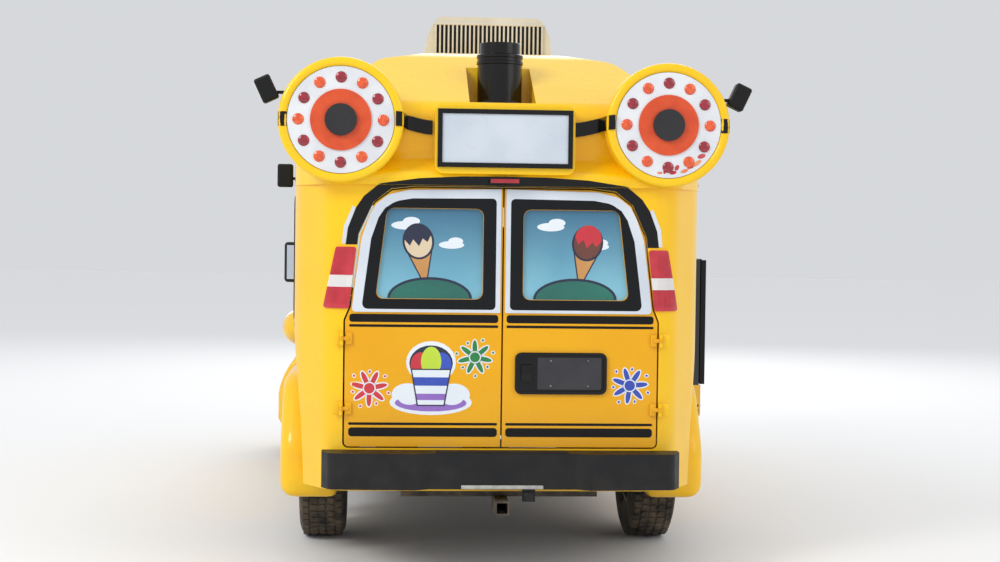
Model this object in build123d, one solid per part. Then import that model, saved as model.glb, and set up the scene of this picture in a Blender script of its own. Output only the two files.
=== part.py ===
from build123d import *
import math
import os

os.makedirs("parts", exist_ok=True)

# Ice cream truck, in millimetres. While it is put together, x runs to the vehicle's right, y runs
# forwards from the outside of the closed rear doors, and z runs up from the ground.

# Overall form
body_half_width = 1000.0
belt_half_width_front = 950.0
roof_half_width_front = 850.0
sill_half_width = 955.0
sill_half_width_front = 910.0
rocker_half_width = 940.0
rocker_half_width_front = 900.0
straight_length = 3000.0
taper_end_y = 4800.0
rocker_z = 400.0
sill_z = 700.0
belt_z = 1150.0
seam_z = 1845.0
wall = 45.0
panel_gap = 8.0
rear_flat_half_width = 800.0
rear_corner_length = 340.0
rear_frame_depth = 420.0

# Windshield and toe board
cowl_y = 4600.0
cowl_z = 1200.0
windshield_rake = 600.0
windshield_rise = 645.0
windshield_radius = 1600.0
toe_y = 4090.0
footwell_top_z = 860.0
glass = 6.0
glass_depth = 10.0

# Floor and chassis
floor_top_z = 700.0
floor_thickness = 40.0
rail_x = 430.0
rail_width = 80.0
rail_height = 160.0
rail_front_y = 5370.0

# Wheels
wheel_radius = 387.0
tyre_width = 248.0
rim_radius = 206.0
rim_width = 196.0
track_half = 865.0
rear_axle_y = 1120.0
front_axle_y = 4550.0
kingpin_x = 800.0
arch_clearance = 40.0
liner = 10.0
rear_liner_x = 680.0
front_liner_x = 520.0
spindle_radius = 35.0
running_clearance = 0.05

# Rear doors
rear_door_half_width = 742.0
rear_door_bottom_z = 610.0
rear_door_top_z = 1832.0
rear_hinge_x = 757.0
rear_hinge_out = 15.0

# Front doors
front_door_rear_y = 2965.0
front_door_front_y = 4008.0
front_door_bottom_z = 500.0
front_door_top_z = 1790.0

# Nose
nose_y = 5440.0
nose_wall = 25.0
nose_bottom_z = 430.0
hood_rear_y = 4661.0
hood_front_y = 5250.0
hood_half_width = 700.0

# Fenders
fender_half_width = 1290.0
fender_top_z = 910.0
fender_bottom_z = 240.0
fender_rear_y = 4030.0
fender_front_y = 5360.0
fender_inner_x = 860.0
flare_half_width = 1070.0
flare_reach = 640.0

# High roof
cap_wall = 40.0
cap_crown_z = 2545.0
cap_rear_y = -20.0
cap_front_y = 4150.0
cap_front_half_width = 900.0
cap_shoulder_z = 2080.0
cap_eave_z = 2230.0
cap_recess = 130.0
cap_slope_length = 790.0

# Lamp pods and signs
pod_x = 770.0
pod_z = 2142.0
pod_radius = 293.0
pod_rim = 43.0
pod_proud = 50.0
pod_length = 560.0
pod_seat = 20.0
lamp_thickness = 12.0
sign_half_width = 318.0
sign_bottom_z = 1930.0
sign_top_z = 2203.0
sign_proud = 25.0
sign_margin = 27.0
board_thickness = 15.0

# Serving side
serving_rear_y = 1620.0
serving_front_y = 2850.0
serving_bottom_z = 1530.0
serving_top_z = 2062.0
station_bottom_z = 540.0
station_step_z = 770.0
station_top_z = 1490.0
station_half_width = 1250.0
cover_thickness = 28.0

# Roof equipment
air_half_width = 345.0
air_rear_y = 1280.0
air_length = 1000.0
air_height = 255.0
vent_radius = 115.0
vent_y = 400.0
vent_top_z = 2560.0
notch_half_width = 160.0

# Bumpers
rear_bumper_y = -170.0
front_bumper_y = 5520.0
bumper_bottom_z = 427.0
bumper_top_z = 595.0
bumper_half_width = 845.0
receiver_outer = 63.5
receiver_inner = 51.0
receiver_z = 340.0
receiver_mouth_y = -150.0
hitch_pin_radius = 8.1

parts = {}


# Shapes that every section uses

def block(x_range, y_range, z_range):
    size = [high - low for low, high in (x_range, y_range, z_range)]
    middle = [(low + high) / 2 for low, high in (x_range, y_range, z_range)]
    return Pos(*middle) * Box(*size)


def face_of(points, radius):
    if not radius:
        return make_face(Polyline(*points, close=True))
    return make_face(FilletPolyline(*points, radius=radius, close=True))


def along_x(points, x_low, x_high, radius=0):
    return extrude(Plane.YZ.offset(x_low) * face_of(points, radius), amount=x_high - x_low)


def along_y(points, y_low, y_high, radius=0):
    return extrude(Plane.XZ.offset(-y_high) * face_of(points, radius), amount=y_high - y_low)


def along_z(points, z_low, z_high, radius=0):
    return extrude(Plane.XY.offset(z_low) * face_of(points, radius), amount=z_high - z_low)


def mirrored(points):
    return points + [(-x, other) for x, other in reversed(points)]


def both_sides(shape):
    return shape + mirror(shape, about=Plane.YZ)


def rod_x(radius, x_low, x_high, y, z):
    return Pos((x_low + x_high) / 2, y, z) * Rot(0, 90, 0) * Cylinder(radius, x_high - x_low)


def rod_y(radius, x, y_low, y_high, z):
    return Pos(x, (y_low + y_high) / 2, z) * Rot(90, 0, 0) * Cylinder(radius, y_high - y_low)


def rod_z(radius, x, y, z_low, z_high):
    return Pos(x, y, (z_low + z_high) / 2) * Cylinder(radius, z_high - z_low)


# The body's closed form: sections that narrow towards the cowl, a plan with rounded rear corners, a
# raked windshield, and a footwell that stops behind the front wheels. inset shrinks it for the inside.
section_top_z = 1900.0

# station y, half widths at the rocker, sill, belt and top
body_sections = [
    (-200.0, rocker_half_width, sill_half_width, body_half_width, body_half_width),
    (straight_length, rocker_half_width, sill_half_width, body_half_width, body_half_width),
    (taper_end_y, rocker_half_width_front, sill_half_width_front,
     belt_half_width_front, roof_half_width_front),
]


def body_sides(inset):
    bottom_z = rocker_z - inset
    faces = []
    for y, rocker, sill, belt, top in body_sections:
        right = [(rocker, bottom_z), (sill, sill_z), (belt, belt_z), (top, section_top_z)]
        ring = mirrored([(x - inset, z) for x, z in right])
        faces.append(Plane.XZ.offset(-y) * face_of(ring, 0))
    return loft(faces, ruled=True)


def windshield_form(inset):
    reach = 1150.0
    shift = inset * math.hypot(windshield_rake, windshield_rise) / windshield_rise
    apex = cowl_y - shift
    bow = windshield_radius - math.sqrt(windshield_radius ** 2 - reach ** 2)
    front = ThreePointArc((reach, apex - bow), (0, apex), (-reach, apex - bow))
    rest = Polyline((-reach, apex - bow), (-reach, -300), (reach, -300), (reach, apex - bow))
    face = make_face([*front.edges(), *rest.edges()])
    lower = extrude(Pos(0, 0, 300) * face, amount=cowl_z - 300)
    rise = section_top_z + 60 - cowl_z
    slant = Vector(0, -windshield_rake * rise / windshield_rise, rise)
    upper = extrude(Pos(0, 0, cowl_z) * face, amount=slant.length, dir=slant.normalized())
    return lower + upper


def body_plan(inset):
    corner = [
        (body_half_width - inset, taper_end_y),
        (body_half_width - inset, rear_corner_length),
        (rear_flat_half_width - inset / 2, inset),
    ]
    radii = [0, 400, 180, 180, 400, 0]
    return along_z(mirrored(corner), 300, section_top_z + 50, radii)


def body_volume(inset=0.0):
    toe = block((-1500, 1500), (toe_y - inset, 6000), (0, footwell_top_z + inset))
    return (body_sides(inset) & body_plan(inset) & windshield_form(inset)) - toe


outer = body_volume()
inner = body_volume(wall)
above_seam = block((-1500, 1500), (-500, 6000), (seam_z, 3000))
shell = outer - inner - above_seam

arch_radius = wheel_radius + arch_clearance
rear_arch = both_sides(rod_x(arch_radius, rear_liner_x, 1500, rear_axle_y, wheel_radius))
front_arch = both_sides(rod_x(arch_radius, front_liner_x, 1500, front_axle_y, wheel_radius))
rear_arch_cut = both_sides(
    rod_x(arch_radius + liner, rear_liner_x, 1500, rear_axle_y, wheel_radius))

# Openings of the body. The doors are cut from the same shell, so each fits its opening.
rear_door_half = [
    (rear_door_half_width, rear_door_bottom_z),
    (rear_door_half_width, 1205.0),
    (rear_door_half_width - 26, 1268.0),
    (rear_door_half_width - 68, 1610.0),
    (rear_door_half_width - 135, 1758.0),
    (rear_door_half_width - 215, rear_door_top_z - 14),
    (rear_door_half_width - 330, rear_door_top_z),
]
rear_door_face = face_of(mirrored(rear_door_half), 20)
rear_door_form = extrude(Plane.XZ.offset(-120) * rear_door_face, amount=170)
rear_opening = extrude(Plane.XZ.offset(-120) * offset(rear_door_face, amount=panel_gap), amount=170)

front_door_outline = [
    (front_door_rear_y, front_door_bottom_z),
    (front_door_front_y, front_door_bottom_z),
    (front_door_front_y, cowl_z + 20),
    (front_door_front_y - 330, front_door_top_z),
    (front_door_rear_y, front_door_top_z),
]
front_door_face = face_of(front_door_outline, [60, 40, 120, 60, 60])
front_door_form = extrude(Plane.YZ.offset(700) * front_door_face, amount=600)
front_opening = extrude(Plane.YZ.offset(700) * offset(front_door_face, amount=panel_gap), amount=600)
front_door_window = along_x([
    (front_door_rear_y + 70, cowl_z + 40),
    (front_door_front_y - 105, cowl_z + 40),
    (front_door_front_y - 385, front_door_top_z - 70),
    (front_door_rear_y + 70, front_door_top_z - 70),
], 700, 1300, 45)

windshield_half = [
    (820.0, cowl_z + 25),
    (715.0, seam_z - 32),
]
windshield_opening = along_y(mirrored(windshield_half), 3500, 5000, 50)

# side of the vehicle, rear edge y, front edge y
side_window_rows = [
    (-1, 470.0, 1150.0),
    (-1, 1250.0, 2000.0),
    (-1, 2100.0, 2850.0),
    (1, 470.0, 1400.0),
]
window_bottom_z = 1200.0
window_top_z = 1780.0
side_window_forms = []
for side, y_low, y_high in side_window_rows:
    outline = [(y_low, window_bottom_z), (y_high, window_bottom_z),
               (y_high, window_top_z), (y_low, window_top_z)]
    x_low = 700 if side > 0 else -1300
    side_window_forms.append(along_x(outline, x_low, x_low + 600, 50))

hatch_outline = [
    (serving_rear_y, serving_bottom_z),
    (serving_front_y, serving_bottom_z),
    (serving_front_y, serving_top_z),
    (serving_rear_y, serving_top_z),
]
hatch_face = face_of(hatch_outline, 40)
serving_opening = extrude(Plane.YZ.offset(700) * hatch_face, amount=600)

body = shell - rear_opening - both_sides(front_opening) - windshield_opening - serving_opening
under_floor = block((-880, 880), (toe_y - wall - 5, toe_y + 5), (0, floor_top_z - floor_thickness))
body = body - rear_arch - under_floor
for form in side_window_forms:
    body = body - form

# Body panels, split where the real ones meet
pillar_x = 800.0
front_split_y = 3400.0
behind = block((-1500, 1500), (-100, rear_frame_depth), (0, 3000))
middle_front = block((-pillar_x, pillar_x), (front_split_y, 6000), (0, 3000))
parts["rear_frame"] = body & behind
parts["cowl_panel"] = body & middle_front
sides = body - behind - middle_front
parts["body_side_right"] = sides & block((0, 1500), (-100, 6000), (0, 3000))
parts["body_side_left"] = sides & block((-1500, 0), (-100, 6000), (0, 3000))

floor_bottom_z = floor_top_z - floor_thickness
floor = inner & block((-1500, 1500), (0, toe_y - wall), (floor_bottom_z, floor_top_z))
parts["floor_pan"] = floor - rear_arch_cut

# Fixed glass sits a little inside the outer skin
glass_skin = body_volume(glass_depth) - body_volume(glass_depth + glass)
parts["windshield"] = glass_skin & windshield_opening
panes = None
for form in side_window_forms:
    pane = glass_skin & form
    panes = pane if panes is None else panes + pane
parts["side_windows"] = panes

# Doors
door_skin = outer - inner
rear_door_window_half = [
    (96.0, 1310.0),
    (600.0, 1310.0),
    (548.0, 1735.0),
    (96.0, 1735.0),
]
rear_door_window = along_y(rear_door_window_half, -50, 120, 35)
rear_door = door_skin & rear_door_form & block((panel_gap / 2, 1500), (-100, 400), (0, 3000))
rear_door_glass = glass_skin & rear_door_window
rear_door = rear_door - rear_door_window
front_door = (door_skin & front_door_form) - front_door_window
front_door_glass = glass_skin & front_door_window

mirror_head = block((1070, 1240), (3935, 4010), (1270, 1550))
mirror_head = fillet(mirror_head.edges(), 25)
mirror_arms = rod_x(12, 940, 1090, 3960, 1310) + rod_x(12, 940, 1090, 3960, 1430)
mirror_foot = block((940, 985), (3925, 3985), (1280, 1460))
side_mirror = (mirror_head + mirror_arms + mirror_foot) - outer

hatch = extrude(Plane.YZ.offset(body_half_width - wall) * offset(hatch_face, amount=-panel_gap),
                amount=wall)

# name ending, shape for the right side
paired = [
    ("rear_door", rear_door),
    ("rear_door_glass", rear_door_glass),
    ("front_door", front_door),
    ("front_door_glass", front_door_glass),
    ("mirror", side_mirror),
]
for name, shape in paired:
    parts[name + "_right"] = shape
    parts[name + "_left"] = mirror(shape, about=Plane.YZ)
parts["serving_hatch"] = hatch


# High roof
def cap_volume(inset=0.0):
    half = body_half_width - inset
    crown = cap_crown_z - inset
    section = mirrored([
        (half, seam_z - 100),
        (half, cap_shoulder_z),
        (600 - inset / 2, crown - 45),
        (350.0, crown),
    ])
    across = along_y(section, -300, 4500, [0, 150, 150, 300, 300, 150, 150, 0])
    rear = cap_rear_y + inset
    front = cap_front_y - inset
    low = seam_z - 100
    profile = [
        (rear, low), (rear, 1900.0), (rear + cap_recess, 1985.0), (rear + cap_recess, cap_eave_z),
        (rear + cap_slope_length, cap_crown_z + 15 - inset),
        (front - cap_slope_length, cap_crown_z + 15 - inset),
        (front - cap_recess, cap_eave_z), (front - cap_recess, 1985.0), (front, 1900.0), (front, low),
    ]
    radii = [0, 40, 60, 90, 500, 500, 90, 60, 40, 0]
    lengthways = along_x(profile, -1500, 1500, radii)
    plan = mirrored([
        (cap_front_half_width - 200 - inset, front),
        (cap_front_half_width - inset / 2, front - 160),
        (half, straight_length),
        (half, rear_corner_length),
        (rear_flat_half_width + 20 - inset / 2, rear),
    ])
    from_above = along_z(plan, 1700, 2700, [120, 120, 0, 350, 180, 180, 350, 0, 120, 120])
    return across & lengthways & from_above


def pod_volume(inset=0.0):
    back = pod_length - inset
    radius = pod_radius - inset
    face_y = -pod_proud + (pod_seat + inset if inset else pod_seat)
    rim_y = -pod_proud + inset
    ring = [(0, face_y), (pod_radius - pod_rim - inset, face_y), (pod_radius - pod_rim - inset, rim_y),
            (radius, rim_y), (radius, 70), (radius * 0.55, back - 40), (0, back)]
    radii = [0, 0, 18, 18, 200, 60, 0]
    if inset:
        ring = [(0, face_y), (radius, face_y), (radius, 70), (radius * 0.5, back - 40), (0, back)]
        radii = [0, 0, 200, 60, 0]
    half = make_face(FilletPolyline(*ring, radius=radii, close=True))
    return revolve(half, axis=Axis.Y)


def end_to_end(shape):
    turned = Pos(0, cap_rear_y + cap_front_y, 0) * Rot(0, 0, 180) * shape
    return shape + turned


def sign_box(inset):
    half = sign_half_width + 12 - inset
    outline = [(-half, sign_bottom_z - 30 + inset), (half, sign_bottom_z - 30 + inset),
               (half, sign_top_z + sign_margin - inset), (-half, sign_top_z + sign_margin - inset)]
    return along_y(outline, cap_rear_y - sign_proud + inset, 300, 40)


def roof_form(inset=0.0):
    pods = both_sides(Pos(pod_x, cap_rear_y, pod_z) * pod_volume(inset))
    return cap_volume(inset) + end_to_end(pods) + end_to_end(sign_box(inset))


def vent_notch(grow):
    half = notch_half_width + grow
    return block((-half, half), (90 - grow, 560 + grow), (2250 - grow, 2800))


cap_outer = roof_form()
cap_inner = roof_form(cap_wall) - vent_notch(cap_wall)
below_cap = block((-1500, 1500), (-500, 6000), (0, seam_z))
deck = block((-1500, 1500), (-500, 6000), (0, seam_z + cap_wall))
cap = cap_outer - vent_notch(0) - (cap_inner - deck) - body_volume(wall + 15) - below_cap
parts["roof_cap"] = cap - serving_opening

# Warning lamps in the pods: a plate, a raised ring and a hub with twelve lenses round it
plate_radius = pod_radius - pod_rim - 1
plate_y = cap_rear_y - pod_proud + pod_seat
plate = rod_y(plate_radius, pod_x, plate_y - lamp_thickness, plate_y, pod_z)
plate = plate + rod_y(143, pod_x, plate_y - lamp_thickness - 6, plate_y, pod_z)
plate = plate + rod_y(75, pod_x, plate_y - lamp_thickness - 22, plate_y, pod_z)
parts["warning_lamps"] = end_to_end(both_sides(plate))

board_y = cap_rear_y - sign_proud
board = block((-sign_half_width, sign_half_width), (board_y - board_thickness, board_y),
              (sign_bottom_z, sign_top_z))
frame_width = 22.0
board = board - block((-sign_half_width + frame_width, sign_half_width - frame_width),
                      (board_y - board_thickness - 1, board_y - board_thickness + 6),
                      (sign_bottom_z + frame_width, sign_top_z - frame_width))
parts["sign_boards"] = end_to_end(board)

# Roof equipment
air_top = [(-air_half_width, cap_crown_z), (air_half_width, cap_crown_z),
           (air_half_width - 10, cap_crown_z + 150), (air_half_width - 60, cap_crown_z + air_height),
           (60 - air_half_width, cap_crown_z + air_height), (10 - air_half_width, cap_crown_z + 150)]
parts["air_conditioner"] = along_y(air_top, air_rear_y, air_rear_y + air_length, [0, 0, 60, 60, 60, 60])

vent = rod_z(vent_radius - 5, 0, vent_y, 2250, vent_top_z - 75)
vent = vent + rod_z(vent_radius, 0, vent_y, vent_top_z - 105, vent_top_z - 60)
vent = vent + rod_z(vent_radius - 15, 0, vent_y, vent_top_z - 60, vent_top_z)
parts["vent_stack"] = vent

# x, y, z, tilt and length of the bracket of each work lamp
flood_rows = [
    (1120.0, 20.0, 2285.0, 25.0),
    (-1120.0, 20.0, 2285.0, -25.0),
    (-1075.0, 900.0, 1910.0, 0.0),
]
floods = None
for x, y, z, tilt in flood_rows:
    side = 1 if x > 0 else -1
    case = fillet(Box(80, 70, 120).edges(), 12)
    lamp = Pos(x, y, z) * Rot(0, tilt, 0) * case
    bracket = block(sorted((x, x - side * 110)), (y - 12, y + 12), (z - 22, z - 8))
    lamp = (lamp + bracket) - cap_outer
    floods = lamp if floods is None else floods + lamp
parts["flood_lamps"] = floods


# Nose
def nose_volume(inset=0.0):
    start = toe_y if not inset else toe_y - 200
    plan = mirrored([
        (925.0 - inset, start),
        (885.0 - inset, 4700.0),
        (840.0 - inset, 5200.0),
        (690.0 - inset, nose_y - 50 - inset),
        (300.0, nose_y - inset),
    ])
    top_z = cowl_z - inset
    low = nose_bottom_z - (100 if inset else 0)
    profile = [(start, low), (start, top_z), (cowl_y, top_z), (5200.0, top_z - 115),
               (5390.0, top_z - 185), (nose_y, top_z - 300), (nose_y, low)]
    form = along_z(plan, low, cowl_z + 20, [0, 400, 200, 120, 800, 800, 120, 200, 400, 0])
    return form & along_x(profile, -1500, 1500, [0, 0, 300, 200, 60, 0, 0])


nose_outer = nose_volume()
nose = nose_outer - nose_volume(nose_wall) - outer
hood_half = [(hood_half_width, hood_rear_y), (hood_half_width - 60, hood_front_y)]
hood_face = face_of(mirrored(hood_half), 40)
hood_form = extrude(Pos(0, 0, 900) * hood_face, amount=400)
hood_opening = extrude(Pos(0, 0, 900) * offset(hood_face, amount=panel_gap - 2), amount=400)
parts["hood"] = nose & hood_form

grille_half_width = 430.0
grille_bottom_z = 625.0
grille_top_z = 880.0
grille_outline = mirrored([(grille_half_width, grille_bottom_z), (grille_half_width, grille_top_z)])
grille_opening = along_y(grille_outline, 5300, 5600, 50)
under_bumper = block((-600, 600), (5200, 5600), (0, bumper_top_z + 13))
parts["nose_panel"] = nose - hood_opening - grille_opening - under_bumper - front_arch

grille_depth = (nose_y - 42, nose_y - 18)
grille_frame = along_y(grille_outline, *grille_depth, 50)
grille_hole = along_y(mirrored([(grille_half_width - 25, grille_bottom_z + 25),
                                (grille_half_width - 25, grille_top_z - 25)]), 5300, 5600, 30)
bars = grille_frame - grille_hole
bar_count = 5
for number in range(1, bar_count + 1):
    z = grille_bottom_z + number * (grille_top_z - grille_bottom_z) / (bar_count + 1)
    bars = bars + block((20 - grille_half_width, grille_half_width - 20),
                        (nose_y - 38, nose_y - 24), (z - 7, z + 7))
parts["grille"] = bars

# Fenders: pontoons over the front wheels and flares round the rear ones
fender_side = [
    (fender_rear_y, fender_bottom_z),
    (fender_rear_y, fender_top_z - 130),
    (fender_rear_y + 240, fender_top_z),
    (4800.0, fender_top_z),
    (fender_front_y - 60, 720.0),
    (fender_front_y, 420.0),
    (fender_front_y - 60, fender_bottom_z),
]
pontoon = along_x(fender_side, fender_inner_x, fender_half_width, [60, 180, 220, 500, 260, 120, 60])
crown = make_face([
    *ThreePointArc((fender_inner_x + 60, fender_top_z),
                   (1140.0, fender_top_z - 148),
                   (fender_half_width, 460.0)).edges(),
    *Polyline((fender_half_width, 460.0), (fender_half_width, 300.0), (1225.0, fender_bottom_z - 20),
              (fender_inner_x - 200, fender_bottom_z - 20), (fender_inner_x - 200, fender_top_z),
              (fender_inner_x + 60, fender_top_z)).edges(),
])
crown = extrude(Plane.XZ.offset(-5600) * crown, amount=1800)
pontoon_plan = along_z([
    (fender_inner_x - 200, fender_rear_y), (1225.0, fender_rear_y), (fender_half_width, 4115.0),
    (fender_half_width, 5050.0), (1120.0, fender_front_y), (fender_inner_x - 200, fender_front_y),
], 100, 1100, [0, 60, 60, 400, 150, 0])
pontoon = pontoon & crown & pontoon_plan
pontoon = pontoon - nose_outer - outer - front_arch

flare_side = [
    (rear_axle_y - flare_reach, 290.0),
    (rear_axle_y - flare_reach, 560.0),
    (rear_axle_y - 400, 900.0),
    (rear_axle_y + 400, 900.0),
    (rear_axle_y + flare_reach, 560.0),
    (rear_axle_y + flare_reach, 290.0),
]
flare = along_x(flare_side, 800, flare_half_width, [40, 250, 250, 250, 250, 40])
flare = fillet(flare.faces().sort_by(Axis.X)[-1].edges(), 70)
flare = flare - outer - rear_arch
station_envelope = block((800, 1300), (serving_rear_y, serving_front_y),
                         (station_bottom_z, station_top_z))
right_flare = flare - station_envelope
parts["fenders"] = both_sides(pontoon) + mirror(flare, about=Plane.YZ) + right_flare

# Wheel housings seat on the inside of the body and nose
liner_bottom_z = 450.0


def housing(x_low, x_high, y, room):
    tunnel = rod_x(arch_radius + liner, x_low, x_high, y, wheel_radius)
    space = rod_x(arch_radius, x_low + liner, x_high + 1, y, wheel_radius)
    low = block((0, 1500), (0, 6000), (0, liner_bottom_z))
    return ((tunnel - space) & room) - low


rear_housing = housing(rear_liner_x, 1000, rear_axle_y, inner)
front_room = nose_volume(nose_wall) - outer
front_housing = housing(front_liner_x, 1000, front_axle_y, front_room)
arm_slot = block((front_liner_x - 10, front_liner_x + 40), (front_axle_y - 110, front_axle_y + 110),
                 (0, wheel_radius + 200))
front_housing = front_housing - arm_slot
parts["wheel_liners"] = both_sides(rear_housing) + both_sides(front_housing)

# Lamps
pod_lamp_x = 1160.0
pod_lamp_z = 915.0
pod_lamp_y = 4780.0
lamp_radius = 128.0
bullet_half = make_face(FilletPolyline(
    (0, 0), (lamp_radius - 12, 0), (lamp_radius, -25), (lamp_radius, -90), (lamp_radius * 0.75, -240),
    (0, -310), radius=[0, 10, 10, 80, 80, 0], close=True))
bullet = Pos(pod_lamp_x, pod_lamp_y, pod_lamp_z) * revolve(bullet_half, axis=Axis.Y)
foot = block((pod_lamp_x - 40, pod_lamp_x + 40), (4560, 4740), (700, pod_lamp_z))
parts["headlamps"] = both_sides(bullet + foot - pontoon)

lamp_proud = 8.0
tail_lamp_form = along_y([(693.0, 1551.0), (790.0, 1551.0), (850.0, 1261.0), (725.0, 1261.0)],
                         -60, 200, 12)
tail_lamp = (body_volume(-lamp_proud) - body_volume(lamp_proud * 2)) & tail_lamp_form
parts["tail_lamps"] = both_sides(tail_lamp)
parts["rear_frame"] = parts["rear_frame"] - parts["tail_lamps"]

# Bumpers and hitch
step_half_width = 345.0
rear_bumper_plan = mirrored([
    (bumper_half_width, 0.0),
    (bumper_half_width, -70.0),
    (bumper_half_width - 40, rear_bumper_y + 25),
    (step_half_width + 60, rear_bumper_y),
    (step_half_width, rear_bumper_y + 40),
])
rear_bumper = along_z(rear_bumper_plan, bumper_bottom_z, bumper_top_z, [0, 40, 40, 20, 20, 20, 20, 40, 40, 0])
parts["rear_bumper"] = rear_bumper - outer

front_bumper_plan = mirrored([
    (945.0, fender_front_y + 15),
    (900.0, front_bumper_y - 65),
    (700.0, front_bumper_y - 20),
    (300.0, front_bumper_y),
])
front_bumper = along_z(front_bumper_plan, bumper_bottom_z, bumper_top_z, [0, 60, 100, 400, 400, 100, 60, 0])
nose_clear = along_z(mirrored([(860.0, 5000.0), (860.0, 5280.0), (700.0, nose_y - 40),
                               (300.0, nose_y + 10)]), 0, 1000, [0, 200, 120, 800, 800, 120, 200, 0])
bumper_bracket = block((rail_x - 30, rail_x + 30), (rail_front_y, nose_y + 40), (515, 585))
parts["front_bumper"] = front_bumper - nose_clear - nose_outer + both_sides(bumper_bracket)

outer_half = receiver_outer / 2
inner_half = receiver_inner / 2
tube = block((-outer_half, outer_half), (receiver_mouth_y, 150),
             (receiver_z - outer_half, receiver_z + outer_half))
socket = block((-inner_half, inner_half), (receiver_mouth_y - 1, 130),
               (receiver_z - inner_half, receiver_z + inner_half))
hitch = tube + block((-470, 470), (60, 130), (receiver_z + inner_half, 435))
hitch = hitch + both_sides(block((rail_x - 40, rail_x + 40), (60, 130), (400, 500)))
hitch_pin_y = receiver_mouth_y + 65
parts["hitch_receiver"] = hitch - socket - rod_x(hitch_pin_radius, -60, 60, hitch_pin_y, receiver_z)

# Chassis
rail_top_z = floor_bottom_z
rail_bottom_z = rail_top_z - rail_height
rail = block((rail_x - rail_width / 2, rail_x + rail_width / 2), (wall, rail_front_y),
             (rail_bottom_z, rail_top_z))
parts["frame_rails"] = both_sides(rail)

knuckle_low_z = wheel_radius - 135
knuckle_high_z = wheel_radius + 135
arm_thickness = 26.0
pin_radius = 12.0
eye_radius = 30.0
joint_gap = 1.0
crossmember = block((-470, 470), (front_axle_y - 90, front_axle_y + 90), (400, rail_bottom_z))
suspension = crossmember
# bottom of the arm, and where it starts
arm_rows = [
    (knuckle_low_z - joint_gap - arm_thickness, rail_x - 50),
    (knuckle_high_z + joint_gap, rail_x + rail_width / 2),
]
for z_low, start_x in arm_rows:
    z_high = z_low + arm_thickness
    arm = along_z([(start_x, front_axle_y - 85), (kingpin_x, front_axle_y - 22),
                   (kingpin_x, front_axle_y + 22), (start_x, front_axle_y + 85)], z_low, z_high)
    arm = arm + rod_z(eye_radius, kingpin_x, front_axle_y, z_low, z_high)
    arm = arm - rod_z(pin_radius + running_clearance, kingpin_x, front_axle_y, z_low - 1, z_high + 1)
    suspension = suspension + both_sides(arm)
suspension = suspension + both_sides(block((380, 470), (front_axle_y - 60, front_axle_y + 60),
                                           (knuckle_low_z - joint_gap - arm_thickness, 410)))
parts["front_suspension"] = suspension - parts["frame_rails"]

post = block((kingpin_x - 28, kingpin_x + 28), (front_axle_y - 40, front_axle_y + 40),
             (knuckle_low_z, knuckle_high_z))
spindle = rod_x(spindle_radius, kingpin_x, track_half + 35, front_axle_y, wheel_radius)
pin = rod_z(pin_radius, kingpin_x, front_axle_y, knuckle_low_z - joint_gap - arm_thickness,
            knuckle_high_z + joint_gap + arm_thickness)
knuckle = post + spindle + pin
parts["knuckle_right"] = knuckle
parts["knuckle_left"] = mirror(knuckle, about=Plane.YZ)

axle = rod_x(45, -kingpin_x, kingpin_x, rear_axle_y, wheel_radius)
axle = axle + rod_x(spindle_radius, -track_half - 35, track_half + 35, rear_axle_y, wheel_radius)
axle = axle + Pos(0, rear_axle_y, wheel_radius) * Sphere(150)
axle = axle + rod_y(38, 0, rear_axle_y, 3700, wheel_radius)
spring_x = 560.0
spring_half_length = 640.0
spring_rise = 60.0
spring_thickness = 36.0
leaf_top = ThreePointArc((rear_axle_y - spring_half_length, wheel_radius + 45 + spring_rise),
                         (rear_axle_y, wheel_radius + 45),
                         (rear_axle_y + spring_half_length, wheel_radius + 45 + spring_rise))
leaf_face = make_face([
    *leaf_top.edges(),
    *Polyline(leaf_top @ 1, (leaf_top @ 1) + Vector(0, spring_thickness)).edges(),
    *ThreePointArc((rear_axle_y + spring_half_length, wheel_radius + 45 + spring_rise + spring_thickness),
                   (rear_axle_y, wheel_radius + 45 + spring_thickness),
                   (rear_axle_y - spring_half_length,
                    wheel_radius + 45 + spring_rise + spring_thickness)).edges(),
    *Polyline((leaf_top @ 0) + Vector(0, spring_thickness), leaf_top @ 0).edges(),
])
leaf = extrude(Plane.YZ.offset(spring_x - 32) * leaf_face, amount=64)
seat_pad = block((spring_x - 50, spring_x + 50), (rear_axle_y - 70, rear_axle_y + 70),
                 (wheel_radius, wheel_radius + 50))
hangers = None
for sign in (-1, 1):
    y = rear_axle_y + sign * (spring_half_length - 30)
    hanger = block((rail_x + rail_width / 2, spring_x + 32), (y - 30, y + 30), (520, 600))
    hangers = hanger if hangers is None else hangers + hanger
parts["rear_axle"] = axle + both_sides(leaf + seat_pad + hangers)

parts["engine_block"] = block((-280, 280), (4680, 5200), (450, 920)) + block(
    (-rail_x + rail_width / 2, rail_x - rail_width / 2), (4850, 4950), (540, 600))

exhaust_route = FilletPolyline((250, 4400, 455), (250, 2050, 455), (880, 1690, 455), radius=150)
pipe_radius = 32.0
exhaust = sweep(Plane(exhaust_route @ 0, z_dir=exhaust_route % 0) * Circle(pipe_radius),
                path=exhaust_route)
exhaust = exhaust + rod_y(95, 250, 2400, 3100, 455)
strap = block((235, rail_x - rail_width / 2), (2720, 2760), (530, 560))
parts["exhaust_pipe"] = exhaust + strap

tank = fillet(block((-860, -500), (2000, 3000), (410, floor_bottom_z)).edges().filter_by(Axis.Y), 40)
parts["fuel_tank"] = tank

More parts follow.
